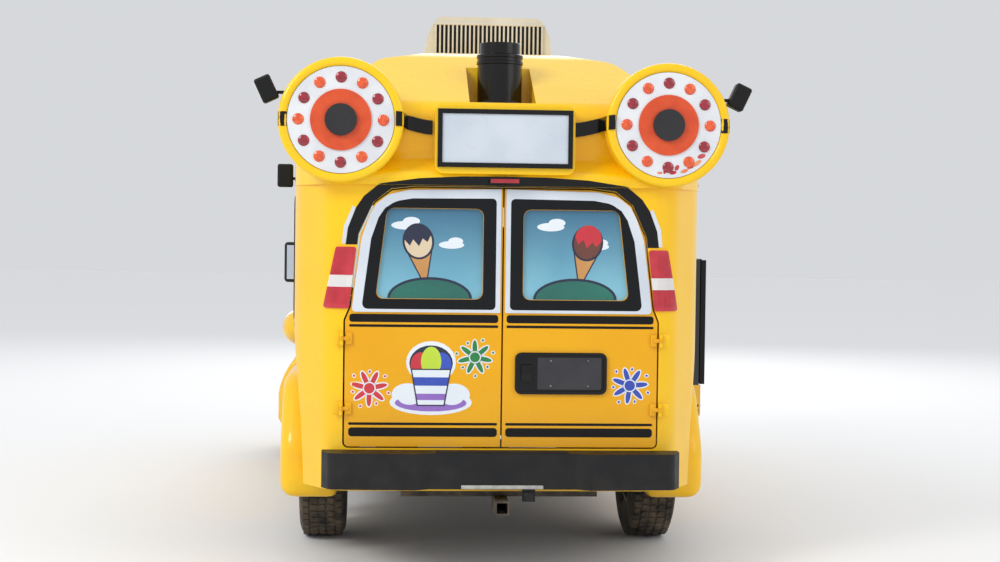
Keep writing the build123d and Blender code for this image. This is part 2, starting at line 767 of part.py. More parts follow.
# Wheels
half_tyre = tyre_width / 2
tyre_ring = [
    (-half_tyre + 26, rim_radius), (-half_tyre, 290.0), (-half_tyre + 8, 350.0),
    (-half_tyre + 30, wheel_radius), (half_tyre - 30, wheel_radius), (half_tyre - 8, 350.0),
    (half_tyre, 290.0), (half_tyre - 26, rim_radius),
]
tyre = revolve(make_face(FilletPolyline(*tyre_ring, radius=[0, 60, 40, 18, 18, 40, 60, 0], close=True)),
               axis=Axis.X)

half_rim = rim_width / 2
barrel_radius = rim_radius - 0.5
disc_x = 25.0
hub_radius = 62.0
rim_ring = [
    (-half_rim, barrel_radius), (half_rim, barrel_radius), (half_rim, barrel_radius - 12),
    (disc_x + 12, barrel_radius - 12), (disc_x + 12, hub_radius), (half_rim - 30, hub_radius),
    (half_rim - 30, 0), (-25, 0), (-25, hub_radius), (disc_x, hub_radius), (disc_x, barrel_radius - 12),
    (-half_rim, barrel_radius - 12),
]
rim = revolve(face_of(rim_ring, 0), axis=Axis.X)
rim = rim - rod_x(spindle_radius + running_clearance, -40, 37, 0, 0)
hand_hole_count = 8
for number in range(hand_hole_count):
    angle = 360 * number / hand_hole_count
    rim = rim - Rot(angle, 0, 0) * rod_x(22, 0, 60, 0, 150)

# ending, side, axle position
wheel_rows = [
    ("front_left", -1, front_axle_y),
    ("front_right", 1, front_axle_y),
    ("rear_left", -1, rear_axle_y),
    ("rear_right", 1, rear_axle_y),
]
for ending, side, y in wheel_rows:
    for name, shape in (("tyre_", tyre), ("rim_", rim)):
        placed = Pos(track_half, y, wheel_radius) * shape
        parts[name + ending] = placed if side > 0 else mirror(placed, about=Plane.YZ)

# Inside
dash = along_x([(4060, 930), (4060, 1120), (4150, 1175), (4560, 1175), (4560, 930)], -900, 900,
               [40, 40, 60, 0, 0])
column_x = -430.0
wheel_centre = Vector(column_x, 3900, 1140)
column_base = Vector(column_x, 4120, 1060)
lean = (wheel_centre - column_base).normalized()
column = Plane(column_base, z_dir=lean) * Pos(0, 0, 117) * Cylinder(26, 234)
wheel_plane = Plane(wheel_centre, x_dir=(1, 0, 0), z_dir=lean)
steering_wheel = wheel_plane * (Torus(190, 14) + Box(370, 40, 16) + Pos(0, -95, 0) * Box(40, 190, 16))
dash = dash + column + steering_wheel
parts["dashboard"] = dash & body_volume(wall + 1)

seat_x = 430.0
pedestal = block((seat_x - 200, seat_x + 200), (3150, 3560), (floor_top_z, 990))
cushion = fillet(block((seat_x - 250, seat_x + 250), (3100, 3640), (980, 1110)).edges(), 35)
backrest = along_x([(3080, 1060), (3210, 1060), (3090, 1680), (2990, 1680)], seat_x - 240, seat_x + 240, 35)
parts["front_seats"] = both_sides(pedestal + cushion + backrest)

cabinet = block((520, 905), (serving_rear_y, serving_front_y), (floor_top_z, 1440))
top = block((480, body_half_width - wall), (serving_rear_y - 20, serving_front_y + 20), (1440, 1480))
parts["work_counter"] = cabinet + top

# Flavour station: a moulded base and an open-fronted housing with its swinging cover
base_outline = [(800.0, station_bottom_z), (1215.0, station_bottom_z), (1262.0, station_bottom_z + 60),
                (1262.0, station_step_z), (800.0, station_step_z)]
station = along_y(base_outline, serving_rear_y, serving_front_y, [0, 20, 20, 0, 0])
housing_box = block((800, station_half_width), (serving_rear_y, serving_front_y),
                    (station_step_z, station_top_z))
cavity = block((1030, station_half_width + 1), (serving_rear_y + 25, serving_front_y - 25),
               (station_step_z + 30, station_top_z - 25))
parts["flavour_station"] = station + (housing_box - cavity) - outer
cover_gap = 6.0
parts["flavour_cover"] = block(
    (station_half_width + cover_gap, station_half_width + cover_gap + cover_thickness),
    (serving_rear_y, serving_front_y), (station_step_z + 6, station_top_z - 3))

# The origin goes under the middle of the vehicle's length
middle_y = (rear_bumper_y + front_bumper_y) / 2
for name, shape in parts.items():
    export_step(Pos(0, -middle_y, 0) * shape, f"parts/{name}.step")
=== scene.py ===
import math

import bmesh
import bpy
from mathutils import Matrix, Vector
from mathutils.bvhtree import BVHTree


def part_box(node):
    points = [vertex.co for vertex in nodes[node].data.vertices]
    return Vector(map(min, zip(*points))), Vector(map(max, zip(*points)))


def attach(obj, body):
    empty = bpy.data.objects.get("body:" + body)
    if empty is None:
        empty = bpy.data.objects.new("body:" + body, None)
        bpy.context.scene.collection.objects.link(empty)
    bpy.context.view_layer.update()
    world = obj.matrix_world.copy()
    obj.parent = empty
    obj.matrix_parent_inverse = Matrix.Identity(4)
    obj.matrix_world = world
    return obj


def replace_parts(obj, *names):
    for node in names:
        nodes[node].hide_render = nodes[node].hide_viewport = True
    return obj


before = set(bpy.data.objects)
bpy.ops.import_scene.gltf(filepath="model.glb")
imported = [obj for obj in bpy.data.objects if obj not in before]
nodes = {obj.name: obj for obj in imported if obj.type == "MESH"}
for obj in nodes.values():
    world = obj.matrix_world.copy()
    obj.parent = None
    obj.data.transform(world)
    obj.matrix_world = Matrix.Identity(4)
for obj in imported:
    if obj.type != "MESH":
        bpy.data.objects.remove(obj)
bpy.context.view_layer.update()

# Chassis: rails, crossmember, arms, axle, knuckles and tow receiver are pressed, welded or cast steel.
# They are bolted together under the floor, painted black and dusty from the road.


def shade(red, green, blue):
    """A colour given as it shows on a screen, 0 to 255, in the linear values that a shader takes."""
    return (*((value / 255) ** 2.2 for value in (red, green, blue)), 1.0)


def plain(name, sockets):
    """A material with these sockets of its shader set."""
    paint = bpy.data.materials.new(name)
    paint.use_nodes = True
    for socket, value in sockets.items():
        paint.node_tree.nodes["Principled BSDF"].inputs[socket].default_value = value
    return paint


def node(paint, kind, inputs=(), **settings):
    """Adds a shader node. An input is a number, a colour or the output of another node."""
    made = paint.node_tree.nodes.new(kind)
    for key, value in settings.items():
        setattr(made, key, value)
    for key, value in dict(inputs).items():
        if isinstance(value, bpy.types.NodeSocket):
            paint.node_tree.links.new(value, made.inputs[key])
        else:
            made.inputs[key].default_value = value
    return made


def cloud(paint, point, scale, detail=4.0):
    given = {"Vector": point, "Scale": scale, "Detail": detail}
    return node(paint, "ShaderNodeTexNoise", given).outputs["Fac"]


def between(paint, value, low, high, first=0.0, last=1.0):
    """value taken from the range low to high to the range first to last, and held at its ends."""
    given = {"Value": value, "From Min": low, "From Max": high, "To Min": first, "To Max": last}
    return node(paint, "ShaderNodeMapRange", given).outputs["Result"]


def mixed(paint, share, first, second):
    """The colour first where share is 0 and second where it is 1."""
    return node(paint, "ShaderNodeMix", {0: share, 6: first, 7: second}, data_type="RGBA").outputs[2]


def reckoned(paint, kind, first, second):
    return node(paint, "ShaderNodeMath", {0: first, 1: second}, operation=kind).outputs[0]


def finish(name, light, dark, roughness, metallic=0.0, coat=0.0, mottle=3.0, grain=400.0, depth=0.0003,
           dust=0.0, bands=(), fade=None, shine=0.5):
    """A finish that varies from light to dark over patches, with a fine grain, and road dust low down.

    Colours are given as they show on a screen, 0 to 255. A band is an axis, where it starts and ends on
    it, and its colour. fade is the same for a slow change."""
    paint = plain(name, {"Metallic": metallic, "Coat Weight": coat, "Coat Roughness": 0.06,
                         "Specular IOR Level": shine})
    point = node(paint, "ShaderNodeTexCoord").outputs["Object"]
    along = node(paint, "ShaderNodeSeparateXYZ", {0: point}).outputs
    patches = between(paint, cloud(paint, point, mottle), 0.35, 0.65)
    colour = mixed(paint, patches, shade(*light), shade(*dark))
    rough = between(paint, cloud(paint, point, mottle * 5), 0.3, 0.7, roughness * 0.88, roughness * 1.12)
    if fade:
        axis, low, high, other = fade
        colour = mixed(paint, between(paint, along[axis], low, high), colour, shade(*other))
    for axis, low, high, other in bands:
        above = reckoned(paint, "GREATER_THAN", along[axis], low)
        below = reckoned(paint, "LESS_THAN", along[axis], high)
        colour = mixed(paint, reckoned(paint, "MULTIPLY", above, below), colour, shade(*other))
    if dust:
        low = between(paint, along["Z"], 0.15, 0.95, 1.0, 0.0)
        streaks = between(paint, cloud(paint, point, 9.0, 8.0), 0.38, 0.75, 0.0, dust)
        share = reckoned(paint, "MULTIPLY", low, streaks)
        colour = mixed(paint, share, colour, shade(150, 132, 108))
        rough = reckoned(paint, "ADD", rough, reckoned(paint, "MULTIPLY", share, 0.5))
    height = cloud(paint, point, grain)
    fine = node(paint, "ShaderNodeBump", {"Height": height, "Distance": depth, "Strength": 1.0})
    shader = paint.node_tree.nodes["Principled BSDF"]
    for socket, value in (("Base Color", colour), ("Roughness", rough), ("Normal", fine.outputs[0])):
        paint.node_tree.links.new(value, shader.inputs[socket])
    return paint


def give(paint, *names):
    """These CAD nodes are finished in this paint all over."""
    for name in names:
        nodes[name].data.materials.clear()
        nodes[name].data.materials.append(paint)


chassis_paint = finish("chassis_paint", (30, 29, 28), (46, 42, 38), 0.62, dust=0.7)
cast_steel = finish("cast_steel", (92, 84, 76), (62, 54, 48), 0.7, 0.6, grain=160, depth=0.0008)
give(chassis_paint, "frame_rails", "front_suspension", "rear_axle", "hitch_receiver")
give(cast_steel, "engine_block", "knuckle_left", "knuckle_right")

# Exhaust and fuel tank: the pipe and silencer are aluminised steel, browned by heat, hung from the right
# rail. The tank is moulded black plastic under the left side.

exhaust_steel = finish("exhaust_steel", (150, 138, 122), (104, 78, 58), 0.48, 0.85, mottle=6, dust=0.5)
tank_plastic = finish("tank_plastic", (26, 26, 27), (36, 35, 34), 0.58, grain=250, dust=0.7)
give(exhaust_steel, "exhaust_pipe")
give(tank_plastic, "fuel_tank")

# Tyres: black rubber with five rows of tread blocks between grooves, and a ribbed sidewall. They are
# moulded in one piece, so the carcass and its blocks share one mesh.


def put(whole, part, matrix=Matrix()):
    """Joins part into whole at that place. The bmesh part is used up."""
    part.transform(matrix)
    data = bpy.data.meshes.new("part")
    part.to_mesh(data)
    part.free()
    whole.from_mesh(data)
    bpy.data.meshes.remove(data)


def at(x, y, z):
    """The place x, y, z."""
    return Matrix.Translation((x, y, z))


def turn(degrees, axis):
    """A turn by so many degrees about an axis through the origin."""
    return Matrix.Rotation(math.radians(degrees), 4, axis)


def soften(made, geom, radius, segments, affect="EDGES"):
    """Rounds these edges, or the corners of a flat shape."""
    bmesh.ops.bevel(made, geom=geom, offset=radius, affect=affect, segments=segments, profile=0.5,
                    material=-1)


def rounded_block(size, radius, segments=2):
    """A block of this size round the origin, with rounded edges."""
    made = bmesh.new()
    bmesh.ops.create_cube(made, size=1)
    bmesh.ops.scale(made, vec=size, verts=made.verts)
    soften(made, made.edges, radius, segments)
    return made


def turned(outline, steps, axis="X"):
    """An outline of radius and place along an axis, spun about that axis through the origin."""
    made = bmesh.new()
    places = {"X": [(along, 0, radius) for radius, along in outline],
              "Y": [(radius, along, 0) for radius, along in outline],
              "Z": [(radius, 0, along) for radius, along in outline]}[axis]
    points = [made.verts.new(spot) for spot in places]
    edges = [made.edges.new(pair) for pair in zip(points, points[1:])]
    bmesh.ops.spin(made, geom=points + edges, cent=(0, 0, 0), axis=Matrix.Identity(3)["XYZ".index(axis)],
                   angle=math.tau, steps=steps, use_merge=True)
    bmesh.ops.remove_doubles(made, verts=made.verts, dist=0.00005)
    bmesh.ops.recalc_face_normals(made, faces=made.faces)
    return made


def object_of(name, made, *paints):
    """The bmesh made becomes an object of the scene."""
    data = bpy.data.meshes.new(name)
    made.to_mesh(data)
    made.free()
    for paint in paints:
        data.materials.append(paint)
    thing = bpy.data.objects.new(name, data)
    bpy.context.scene.collection.objects.link(thing)
    return thing


def piece(name, made, body, slot, *paints, crease=0.6):
    """The bmesh made becomes a piece that rides on the body and is finished in these paints."""
    thing = object_of(name, made, *paints)
    thing.data.shade_smooth()
    thing.data.set_sharp_from_angle(angle=crease)
    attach(thing, body)
    return thing


tyre_low, tyre_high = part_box("tyre_rear_right")
tyre_radius = (tyre_high.z - tyre_low.z) / 2
half_tyre = (tyre_high.x - tyre_low.x) / 2
tread_depth = 0.009
block_height = tread_depth + 0.004
block_length = 0.036
blocks_round = 54
# radius and place across the tyre, from the bead over the sidewall to the middle of the tread
tyre_half_ring = [
    (0.206, half_tyre - 0.026), (0.222, half_tyre - 0.012), (0.236, half_tyre - 0.004),
    (0.262, half_tyre - 0.0015), (0.266, half_tyre), (0.272, half_tyre), (0.276, half_tyre - 0.0015),
    (0.312, half_tyre - 0.0015), (0.336, half_tyre - 0.004), (0.360, half_tyre - 0.012),
    (0.373, half_tyre - 0.024), (tyre_radius - tread_depth, 0.075), (tyre_radius - tread_depth + 0.001, 0.0),
]
# middle of a row of blocks across the tyre, its width, its twist and its lean in degrees, how far it lies
# under the full radius, and how far it is staggered
tread_rows = [
    (0.0, 0.030, 18, 0, 0.0006, 0), (0.043, 0.036, -14, 0, 0.0006, 0), (-0.043, 0.036, -14, 0, 0.0006, 0),
    (0.0855, 0.032, 6, 7, 0.0034, 0.5), (-0.0855, 0.032, 6, -7, 0.0034, 0.5),
]
rubber = finish("tyre_rubber", (31, 31, 32), (44, 42, 40), 0.78, mottle=8, grain=500, dust=0.55)
tyre = turned(tyre_half_ring + [(radius, -across) for radius, across in tyre_half_ring[-2::-1]], 96)
for across, width, twist, lean, sunk, stagger in tread_rows:
    seat = at(across, 0, tyre_radius - sunk - block_height / 2) @ turn(lean, "Y") @ turn(twist, "Z")
    for number in range(blocks_round):
        block = rounded_block((width, block_length, block_height), 0.0015, 1)
        put(tyre, block, turn(360 * (number + stagger) / blocks_round, "X") @ seat)
tyre_data = bpy.data.meshes.new("tyre")
tyre.to_mesh(tyre_data)
tyre.free()
wheel_ends = ("front_left", "front_right", "rear_left", "rear_right")
for end in wheel_ends:
    low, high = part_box("tyre_" + end)
    copy = bmesh.new()
    copy.from_mesh(tyre_data)
    copy.transform(at(*(low + high) / 2))
    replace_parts(piece("tread_tyre_" + end, copy, "wheel_" + end, "tyre_rubber", rubber), "tyre_" + end)
bpy.data.meshes.remove(tyre_data)

# Wheels: a rolled rim and a pressed disc, both of steel painted silver and welded together. Eight chromed
# nuts hold each on its studs, round a plastic cap.


def painted(made, number):
    """Every face of made takes this one of the paints of its piece."""
    for face in made.faces:
        face.material_index = number
    return made


wheel_silver = finish("wheel_silver", (186, 188, 190), (160, 160, 160), 0.38, 0.75, mottle=10, dust=0.6)
nut_chrome = finish("nut_chrome", (190, 190, 192), (150, 150, 150), 0.22, 1.0)
hub_plastic = finish("hub_plastic", (34, 34, 35), (44, 43, 42), 0.45, dust=0.5)
rim_low, rim_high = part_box("rim_rear_right")
nut_circle = 0.095
nut_count = 8
hub_face = (rim_high.x - rim_low.x) / 2 - 0.030
nut_middle = 0.048
# radius and place across of the cap, from its middle to its edge
cap_outline = [(0, hub_face + 0.012), (0.030, hub_face + 0.010), (0.052, hub_face + 0.002),
               (0.058, hub_face - 0.001)]
for end in wheel_ends:
    low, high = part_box("rim_" + end)
    fittings = bmesh.new()
    put(fittings, painted(turned(cap_outline, 40), 1))
    for number in range(nut_count):
        nut = bmesh.new()
        bmesh.ops.create_cone(nut, cap_ends=True, segments=6, radius1=0.013, radius2=0.012, depth=0.022)
        soften(nut, nut.edges, 0.0015, 1)
        put(fittings, nut, turn(360 * (number + 0.5) / nut_count, "X") @ at(nut_middle, 0, nut_circle)
            @ turn(90, "Y"))
    fittings.transform(at(*(low + high) / 2) @ turn(0 if high.x > 0 else 180, "Z"))
    piece("wheel_nuts_" + end, fittings, "wheel_" + end, "wheel_steel", nut_chrome, hub_plastic)
    give(wheel_silver, "rim_" + end)

# Floor and wheel housings: a plywood floor under grey vinyl, screwed to the frame. The housings are pressed
# steel painted black, welded into it.

floor_vinyl = finish("floor_vinyl", (112, 112, 113), (94, 93, 92), 0.6, mottle=5, grain=300)
housing_black = finish("housing_black", (26, 26, 27), (34, 33, 32), 0.7, dust=0.7)
give(floor_vinyl, "floor_pan")
give(housing_black, "wheel_liners")

# Body: pressed steel panels, welded together under gloss yellow enamel. The rear doors take a darker, more
# orange copy of it, the yellow as it shows in shade: painted shade. Dust settles on the lower edges.

sun_yellow = (250, 198, 20)
worn_yellow = (246, 190, 16)
enamel = finish("yellow_enamel", sun_yellow, worn_yellow, 0.3, coat=0.25, mottle=1.2, grain=90, depth=0.0002,
                dust=0.22, shine=0.3)
# the rear doors' yellow, darker and more orange: the body's yellow as it shows in shade, painted shade
shaded_door_enamel = finish("shaded_door_enamel", (238, 172, 12), (232, 164, 10), 0.33, coat=0.2, mottle=1.5, grain=90,
                     depth=0.0002, dust=0.2, shine=0.3)
give(enamel, "body_side_left", "body_side_right", "rear_frame", "cowl_panel", "nose_panel", "hood",
     "serving_hatch", "front_door_left", "front_door_right")
give(shaded_door_enamel, "rear_door_left", "rear_door_right")

# Fenders and flares: glass fibre mouldings with soft, rounded edges, bonded to the nose and the sides. The
# faces that meet the body are pushed into it first, so that the rounding leaves no gap there.

moulded = bmesh.new()
moulded.from_mesh(nodes["fenders"].data)
sunk = 0.018
for vertex in moulded.verts:
    outward = 1 if vertex.co.x > 0 else -1
    if vertex.normal.x * outward < -0.3:
        vertex.co.x -= outward * sunk
rough = object_of("rough_fenders", moulded)
remesh = rough.modifiers.new("remesh", "REMESH")
remesh.mode = "VOXEL"
remesh.voxel_size = 0.012
smoothing = rough.modifiers.new("smoothing", "SMOOTH")
smoothing.factor = 0.5
smoothing.iterations = 22
evaluated = rough.evaluated_get(bpy.context.evaluated_depsgraph_get())
smooth_fenders = bmesh.new()
smooth_fenders.from_mesh(evaluated.to_mesh())
evaluated.to_mesh_clear()
rough_data = rough.data
bpy.data.objects.remove(rough)
bpy.data.meshes.remove(rough_data)
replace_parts(piece("moulded_fenders", smooth_fenders, "van_body", "body_paint", enamel, crease=1.4), "fenders")

# Flavour station: a moulded yellow base under a black housing, bolted to the body side, and its black lid,
# which hangs from a hinge tube along the top and is lifted by a pull.

base_top = 0.7705
station_enamel = finish("station_enamel", sun_yellow, worn_yellow, 0.3, coat=0.6, mottle=1.2, grain=90,
                        depth=0.0002, bands=[("Z", base_top, 9.0, (15, 15, 16))])
case_black = finish("case_black", (16, 16, 17), (19, 19, 20), 0.5, grain=350, depth=0.0005, shine=0.3)
give(station_enamel, "flavour_station")
give(case_black, "flavour_cover")


def tube(points, radius, sides=10):
    """A round bar through these points, closed at both ends."""
    made = bmesh.new()
    points = [Vector(point) for point in points]
    rings = []
    for number, point in enumerate(points):
        way = points[min(number + 1, len(points) - 1)] - points[max(number - 1, 0)]
        ring = bmesh.ops.create_circle(made, segments=sides, radius=radius)["verts"]
        matrix = Matrix.Translation(point) @ way.to_track_quat("Z", "Y").to_matrix().to_4x4()
        bmesh.ops.transform(made, matrix=matrix, verts=ring)
        rings.append(ring)
    for first, second in zip(rings, rings[1:]):
        for number in range(sides):
            after = (number + 1) % sides
            made.faces.new((first[number], first[after], second[after], second[number]))
    made.faces.new(rings[0])
    made.faces.new(rings[-1])
    bmesh.ops.recalc_face_normals(made, faces=made.faces)
    return made


cover_low, cover_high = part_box("flavour_cover")
hinge_ends = [(cover_low.x, y, cover_high.z) for y in (cover_low.y + 0.02, cover_high.y - 0.02)]
piece("station_hinge", tube(hinge_ends, 0.007), "van_body", "black_metal", chassis_paint)
lid_pull = rounded_block((0.012, 0.30, 0.022), 0.004)
lid_pull.transform(at(cover_high.x - 0.001, (cover_low.y + cover_high.y) / 2, cover_low.z + 0.05))
piece("station_pull", lid_pull, "station_cover", "black_metal", chassis_paint)

# High roof: one glass fibre moulding with a yellow gel coat, glued and screwed to the body. A black strap
# is moulded round it at the height of the lamp pods, and small screws run along its lower edge.

gel_coat = finish("yellow_gel_coat", (252, 202, 24), (248, 196, 20), 0.28, coat=0.3, mottle=0.9, grain=40,
                  depth=0.0006, shine=0.3)
give(gel_coat, "roof_cap")


def strip(length, height, radius, cuts, rows=1):
    """A flat strip in the X Z plane that faces the rear, with rounded corners."""
    made = bmesh.new()
    points = bmesh.ops.create_grid(made, x_segments=cuts, y_segments=rows, size=0.5)["verts"]
    bmesh.ops.scale(made, vec=(length, height, 1), verts=made.verts)
    corners = [v for v in points if abs(abs(v.co.x) - length / 2) < 1e-6]
    if radius:
        soften(made, corners, radius, 5, "VERTICES")
    made.transform(turn(90, "X"))
    return made


def skin_of(*names):
    """The surface of these CAD nodes, for trim to be laid on."""
    whole = bmesh.new()
    for name in names:
        whole.from_mesh(nodes[name].data)
    surface = BVHTree.FromBMesh(whole)
    whole.free()
    return surface


def lay_on(made, surface, way, thickness, matrix=Matrix(), lift=0.0):
    """A flat shape is brought to its place, pressed along way onto the surface, and thickened outwards."""
    made.transform(matrix)
    way = Vector(way)
    hits = [surface.ray_cast(vertex.co - way * 3, way)[0] for vertex in made.verts]
    depth = next(hit for hit in hits if hit is not None).dot(way)
    for vertex, hit in zip(made.verts, hits):
        depth = depth if hit is None else hit.dot(way)
        vertex.co += way * (depth - lift - vertex.co.dot(way))
    raised = bmesh.ops.extrude_face_region(made, geom=list(made.faces))["geom"]
    raised = [part for part in raised if isinstance(part, bmesh.types.BMVert)]
    bmesh.ops.translate(made, vec=-way * thickness, verts=raised)
    bmesh.ops.recalc_face_normals(made, faces=made.faces)
    return made


def turned_to(side):
    """Turns a shape that faces the rear to face the vehicle's right, side 1, or its left, side -1."""
    return turn(side * 90, "Z")


def dome(size, segments, rings, number=0):
    """A round button whose radii are size, in this one of the paints of its piece."""
    made = bmesh.new()
    bmesh.ops.create_uvsphere(made, u_segments=segments, v_segments=rings, radius=1)
    bmesh.ops.scale(made, vec=size, verts=made.verts)
    return painted(made, number)


# a shape that faces the rear is turned by these to face the rear, 1, or the front, -1
facing = {1: Matrix(), -1: turn(180, "Z")}
roof_skin = skin_of("roof_cap")
roof_low, roof_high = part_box("roof_cap")
black_gloss = finish("black_gloss", (13, 13, 14), (16, 16, 17), 0.22, grain=200, depth=0.0001, shine=0.35)
strap_z = 2.142
strap_height = 0.068
sign_edge = 0.338
pod_inner_edge = 0.515
pod_outer_edge = 1.0605
lash_length = pod_inner_edge - sign_edge
lash_drop = 0.030
lash_thickness = 0.010
rim_width = 0.040
band_thickness = 0.002
strap = bmesh.new()
for end in (1, -1):
    for side in (1, -1):
        lash = strip(lash_length, strap_height, 0, 6)
        for v in lash.verts:
            share = 0.5 - v.co.x * side * end / lash_length
            v.co.z -= lash_drop * (3 * share ** 2 - 2 * share ** 3)
        spot = at(side * (pod_inner_edge + sign_edge) / 2, 0, strap_z + 0.010) @ facing[end]
        put(strap, lay_on(lash, roof_skin, (0, end, 0), lash_thickness, spot))
        rim = strip(rim_width, strap_height, 0, 3, 4)
        spot = at(side * (pod_outer_edge - rim_width / 2), 0, strap_z) @ facing[end]
        put(strap, lay_on(rim, roof_skin, (0, end, 0), band_thickness, spot))
for side in (1, -1):
    lash = strip(roof_high.y - roof_low.y - 0.012, strap_height, 0, 150, 8)
    spot = at(0, (roof_low.y + roof_high.y) / 2, strap_z) @ turned_to(side)
    put(strap, lay_on(lash, roof_skin, (-side, 0, 0), band_thickness, spot))
piece("roof_strap", strap, "van_body", "black_plastic", black_gloss)

screw_steel = finish("screw_steel", (150, 148, 140), (120, 116, 108), 0.4, 0.9)
screw_z = 1.872
screw_count = 13
first_screw_y = roof_low.y + 0.45
screw_pitch = 0.27
screws = bmesh.new()
for side in (1, -1):
    for number in range(screw_count):
        start = Vector((side * 3, first_screw_y + number * screw_pitch, screw_z))
        hit = roof_skin.ray_cast(start, Vector((-side, 0, 0)))[0]
        put(screws, dome((0.0035, 0.007, 0.007), 12, 6), at(*hit))
piece("roof_screws", screws, "van_body", "chassis_steel", screw_steel)

# Lamp pods: in each a white plate with a raised orange ring and a black hub, screwed in, and twelve domed
# lenses round it, crimson and orange in turn. Rain has washed colour down the rear plate on the right.

plate_white = finish("plate_white", (228, 230, 232), (214, 216, 220), 0.35, coat=0.3, mottle=6)
ring_orange = finish("ring_orange", (222, 84, 38), (206, 70, 32), 0.42, mottle=12)
hub_black = finish("hub_black", (22, 21, 24), (30, 29, 32), 0.35, coat=0.3, grain=300)
lens_paints = [
    finish("lens_crimson", (158, 20, 44), (128, 12, 36), 0.12, coat=0.8, mottle=60),
    finish("lens_orange", (236, 96, 36), (214, 70, 26), 0.12, coat=0.8, mottle=60),
]
pod_x = 0.770
pod_z = 2.142
ring_radius = 0.1435
hub_radius = 0.0755
lens_count = 12
lens_circle = 0.198
lens_radius = 0.027
lens_height = 0.010
plate_rise = 0.022
stud_count = 8
stud_circle = 0.044
stud_radius = 0.006
give(plate_white, "warning_lamps")
plates = nodes["warning_lamps"].data
plates.materials.append(ring_orange)
plates.materials.append(hub_black)
for polygon in plates.polygons:
    out = math.hypot(abs(polygon.center.x) - pod_x, polygon.center.z - pod_z)
    polygon.material_index = 2 if out < hub_radius else 1 if out < ring_radius else 0


def on_circle(radius, angle):
    """Where a point of a circle lies, across and up from its middle, at so many degrees from the top."""
    return radius * math.sin(math.radians(angle)), radius * math.cos(math.radians(angle))


plate_low, plate_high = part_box("warning_lamps")
for end, name, plate_y in ((1, "rear", plate_low.y), (-1, "front", plate_high.y)):
    lenses = bmesh.new()
    for side in (1, -1):
        for number in range(lens_count):
            x, z = on_circle(lens_circle, 360 * number / lens_count)
            put(lenses, dome((lens_radius, lens_height, lens_radius), 20, 10, number % 2),
                at(side * pod_x + x, plate_y + end * plate_rise, pod_z + z))
        for number in range(stud_count):
            x, z = on_circle(stud_circle, 360 * number / stud_count)
            put(lenses, dome((stud_radius,) * 3, 10, 6, 2),
                at(side * pod_x + x, plate_y + end * 0.003, pod_z + z))
    piece("pod_lenses_" + name, lenses, "van_body", "lamp_lens", *lens_paints, hub_plastic)


def oval(x, z, wide, high, lean=0.0, count=24):
    """The points of an oval round x, z, turned by so many degrees."""
    across, up = math.cos(math.radians(lean)), math.sin(math.radians(lean))
    points = []
    for number in range(count):
        v, u = on_circle(0.5, 360 * number / count)
        points.append((x + u * wide * across - v * high * up, z + u * wide * up + v * high * across))
    return points


forwards = (0, 1, 0)


def stickers(name, body, slot, rows, surface, paints, matrix=Matrix(), way=forwards, sheet=0.0002):
    """Cut shapes laid on each other. A row has the points of a shape, its paint and its layer."""
    whole = bmesh.new()
    for points, paint, layer in rows:
        cut = bmesh.new()
        cut.faces.new([cut.verts.new((x, 0, z)) for x, z in points])
        put(whole, lay_on(painted(cut, paint), surface, way, sheet, matrix, layer * sheet))
    return piece(name, whole, body, slot, *paints)


stain_paints = [
    finish("stain_crimson", (176, 40, 56), (206, 96, 92), 0.5, mottle=40),
    finish("stain_orange", (226, 110, 60), (232, 160, 120), 0.5, mottle=40),
]
# angle round the plate in degrees from the top, radius, width, height, turn and paint of each stain
stain_table = [
    (132, 0.214, 0.040, 0.022, 20, 0), (142, 0.224, 0.050, 0.020, 35, 1), (152, 0.196, 0.034, 0.022, 10, 1),
    (150, 0.222, 0.044, 0.018, 30, 0), (160, 0.228, 0.040, 0.016, 20, 1), (168, 0.204, 0.030, 0.020, 60, 0),
    (174, 0.224, 0.036, 0.018, 10, 0), (184, 0.216, 0.030, 0.014, 80, 0), (190, 0.228, 0.026, 0.012, 0, 1),
]
stain_rows = []
for angle, radius, wide, high, lean, paint in stain_table:
    x, z = on_circle(radius, angle)
    stain_rows.append((oval(pod_x + x, pod_z + z, wide, high, lean, 14), paint, paint))
stickers("pod_stains", "van_body", "lamp_plate", stain_rows, skin_of("warning_lamps"), stain_paints,
         sheet=0.0003)

# Sign boards: a blank sheet of pale plastic, held in a black moulded frame that is screwed to the box
# between the pods.

sign_sheet = finish("sign_sheet", (206, 214, 222), (192, 202, 212), 0.3, coat=0.3, mottle=4)
give(black_gloss, "sign_boards")
signs = nodes["sign_boards"].data
signs.materials.append(sign_sheet)
sign_low, sign_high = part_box("sign_boards")
sheet_depth = 0.006
for polygon in signs.polygons:
    inside = min(abs(polygon.center.y - sign_low.y), abs(polygon.center.y - sign_high.y))
    if abs(polygon.normal.y) > 0.9 and abs(inside - sheet_depth) < 0.001:
        polygon.material_index = 1

# Roof equipment: the air conditioner's shroud is chalky beige plastic with upright slats over a black
# sheet that stands in for the shade of the fan space behind them, painted shade. The vent stack is gloss
# black, and the work lamps black die castings with clear lenses.

shroud_beige = finish("shroud_beige", (218, 212, 194), (206, 198, 178), 0.6, mottle=5, grain=220)
give(shroud_beige, "air_conditioner")
give(case_black, "flood_lamps")
shroud_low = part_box("air_conditioner")[0]
grille_bottom = shroud_low.z + 0.050
grille_height = 0.165
grille_middle = grille_bottom + grille_height / 2
grille_width = 0.580
slat_pitch = 0.0232
slat_y = shroud_low.y - 0.006
slats = bmesh.new()
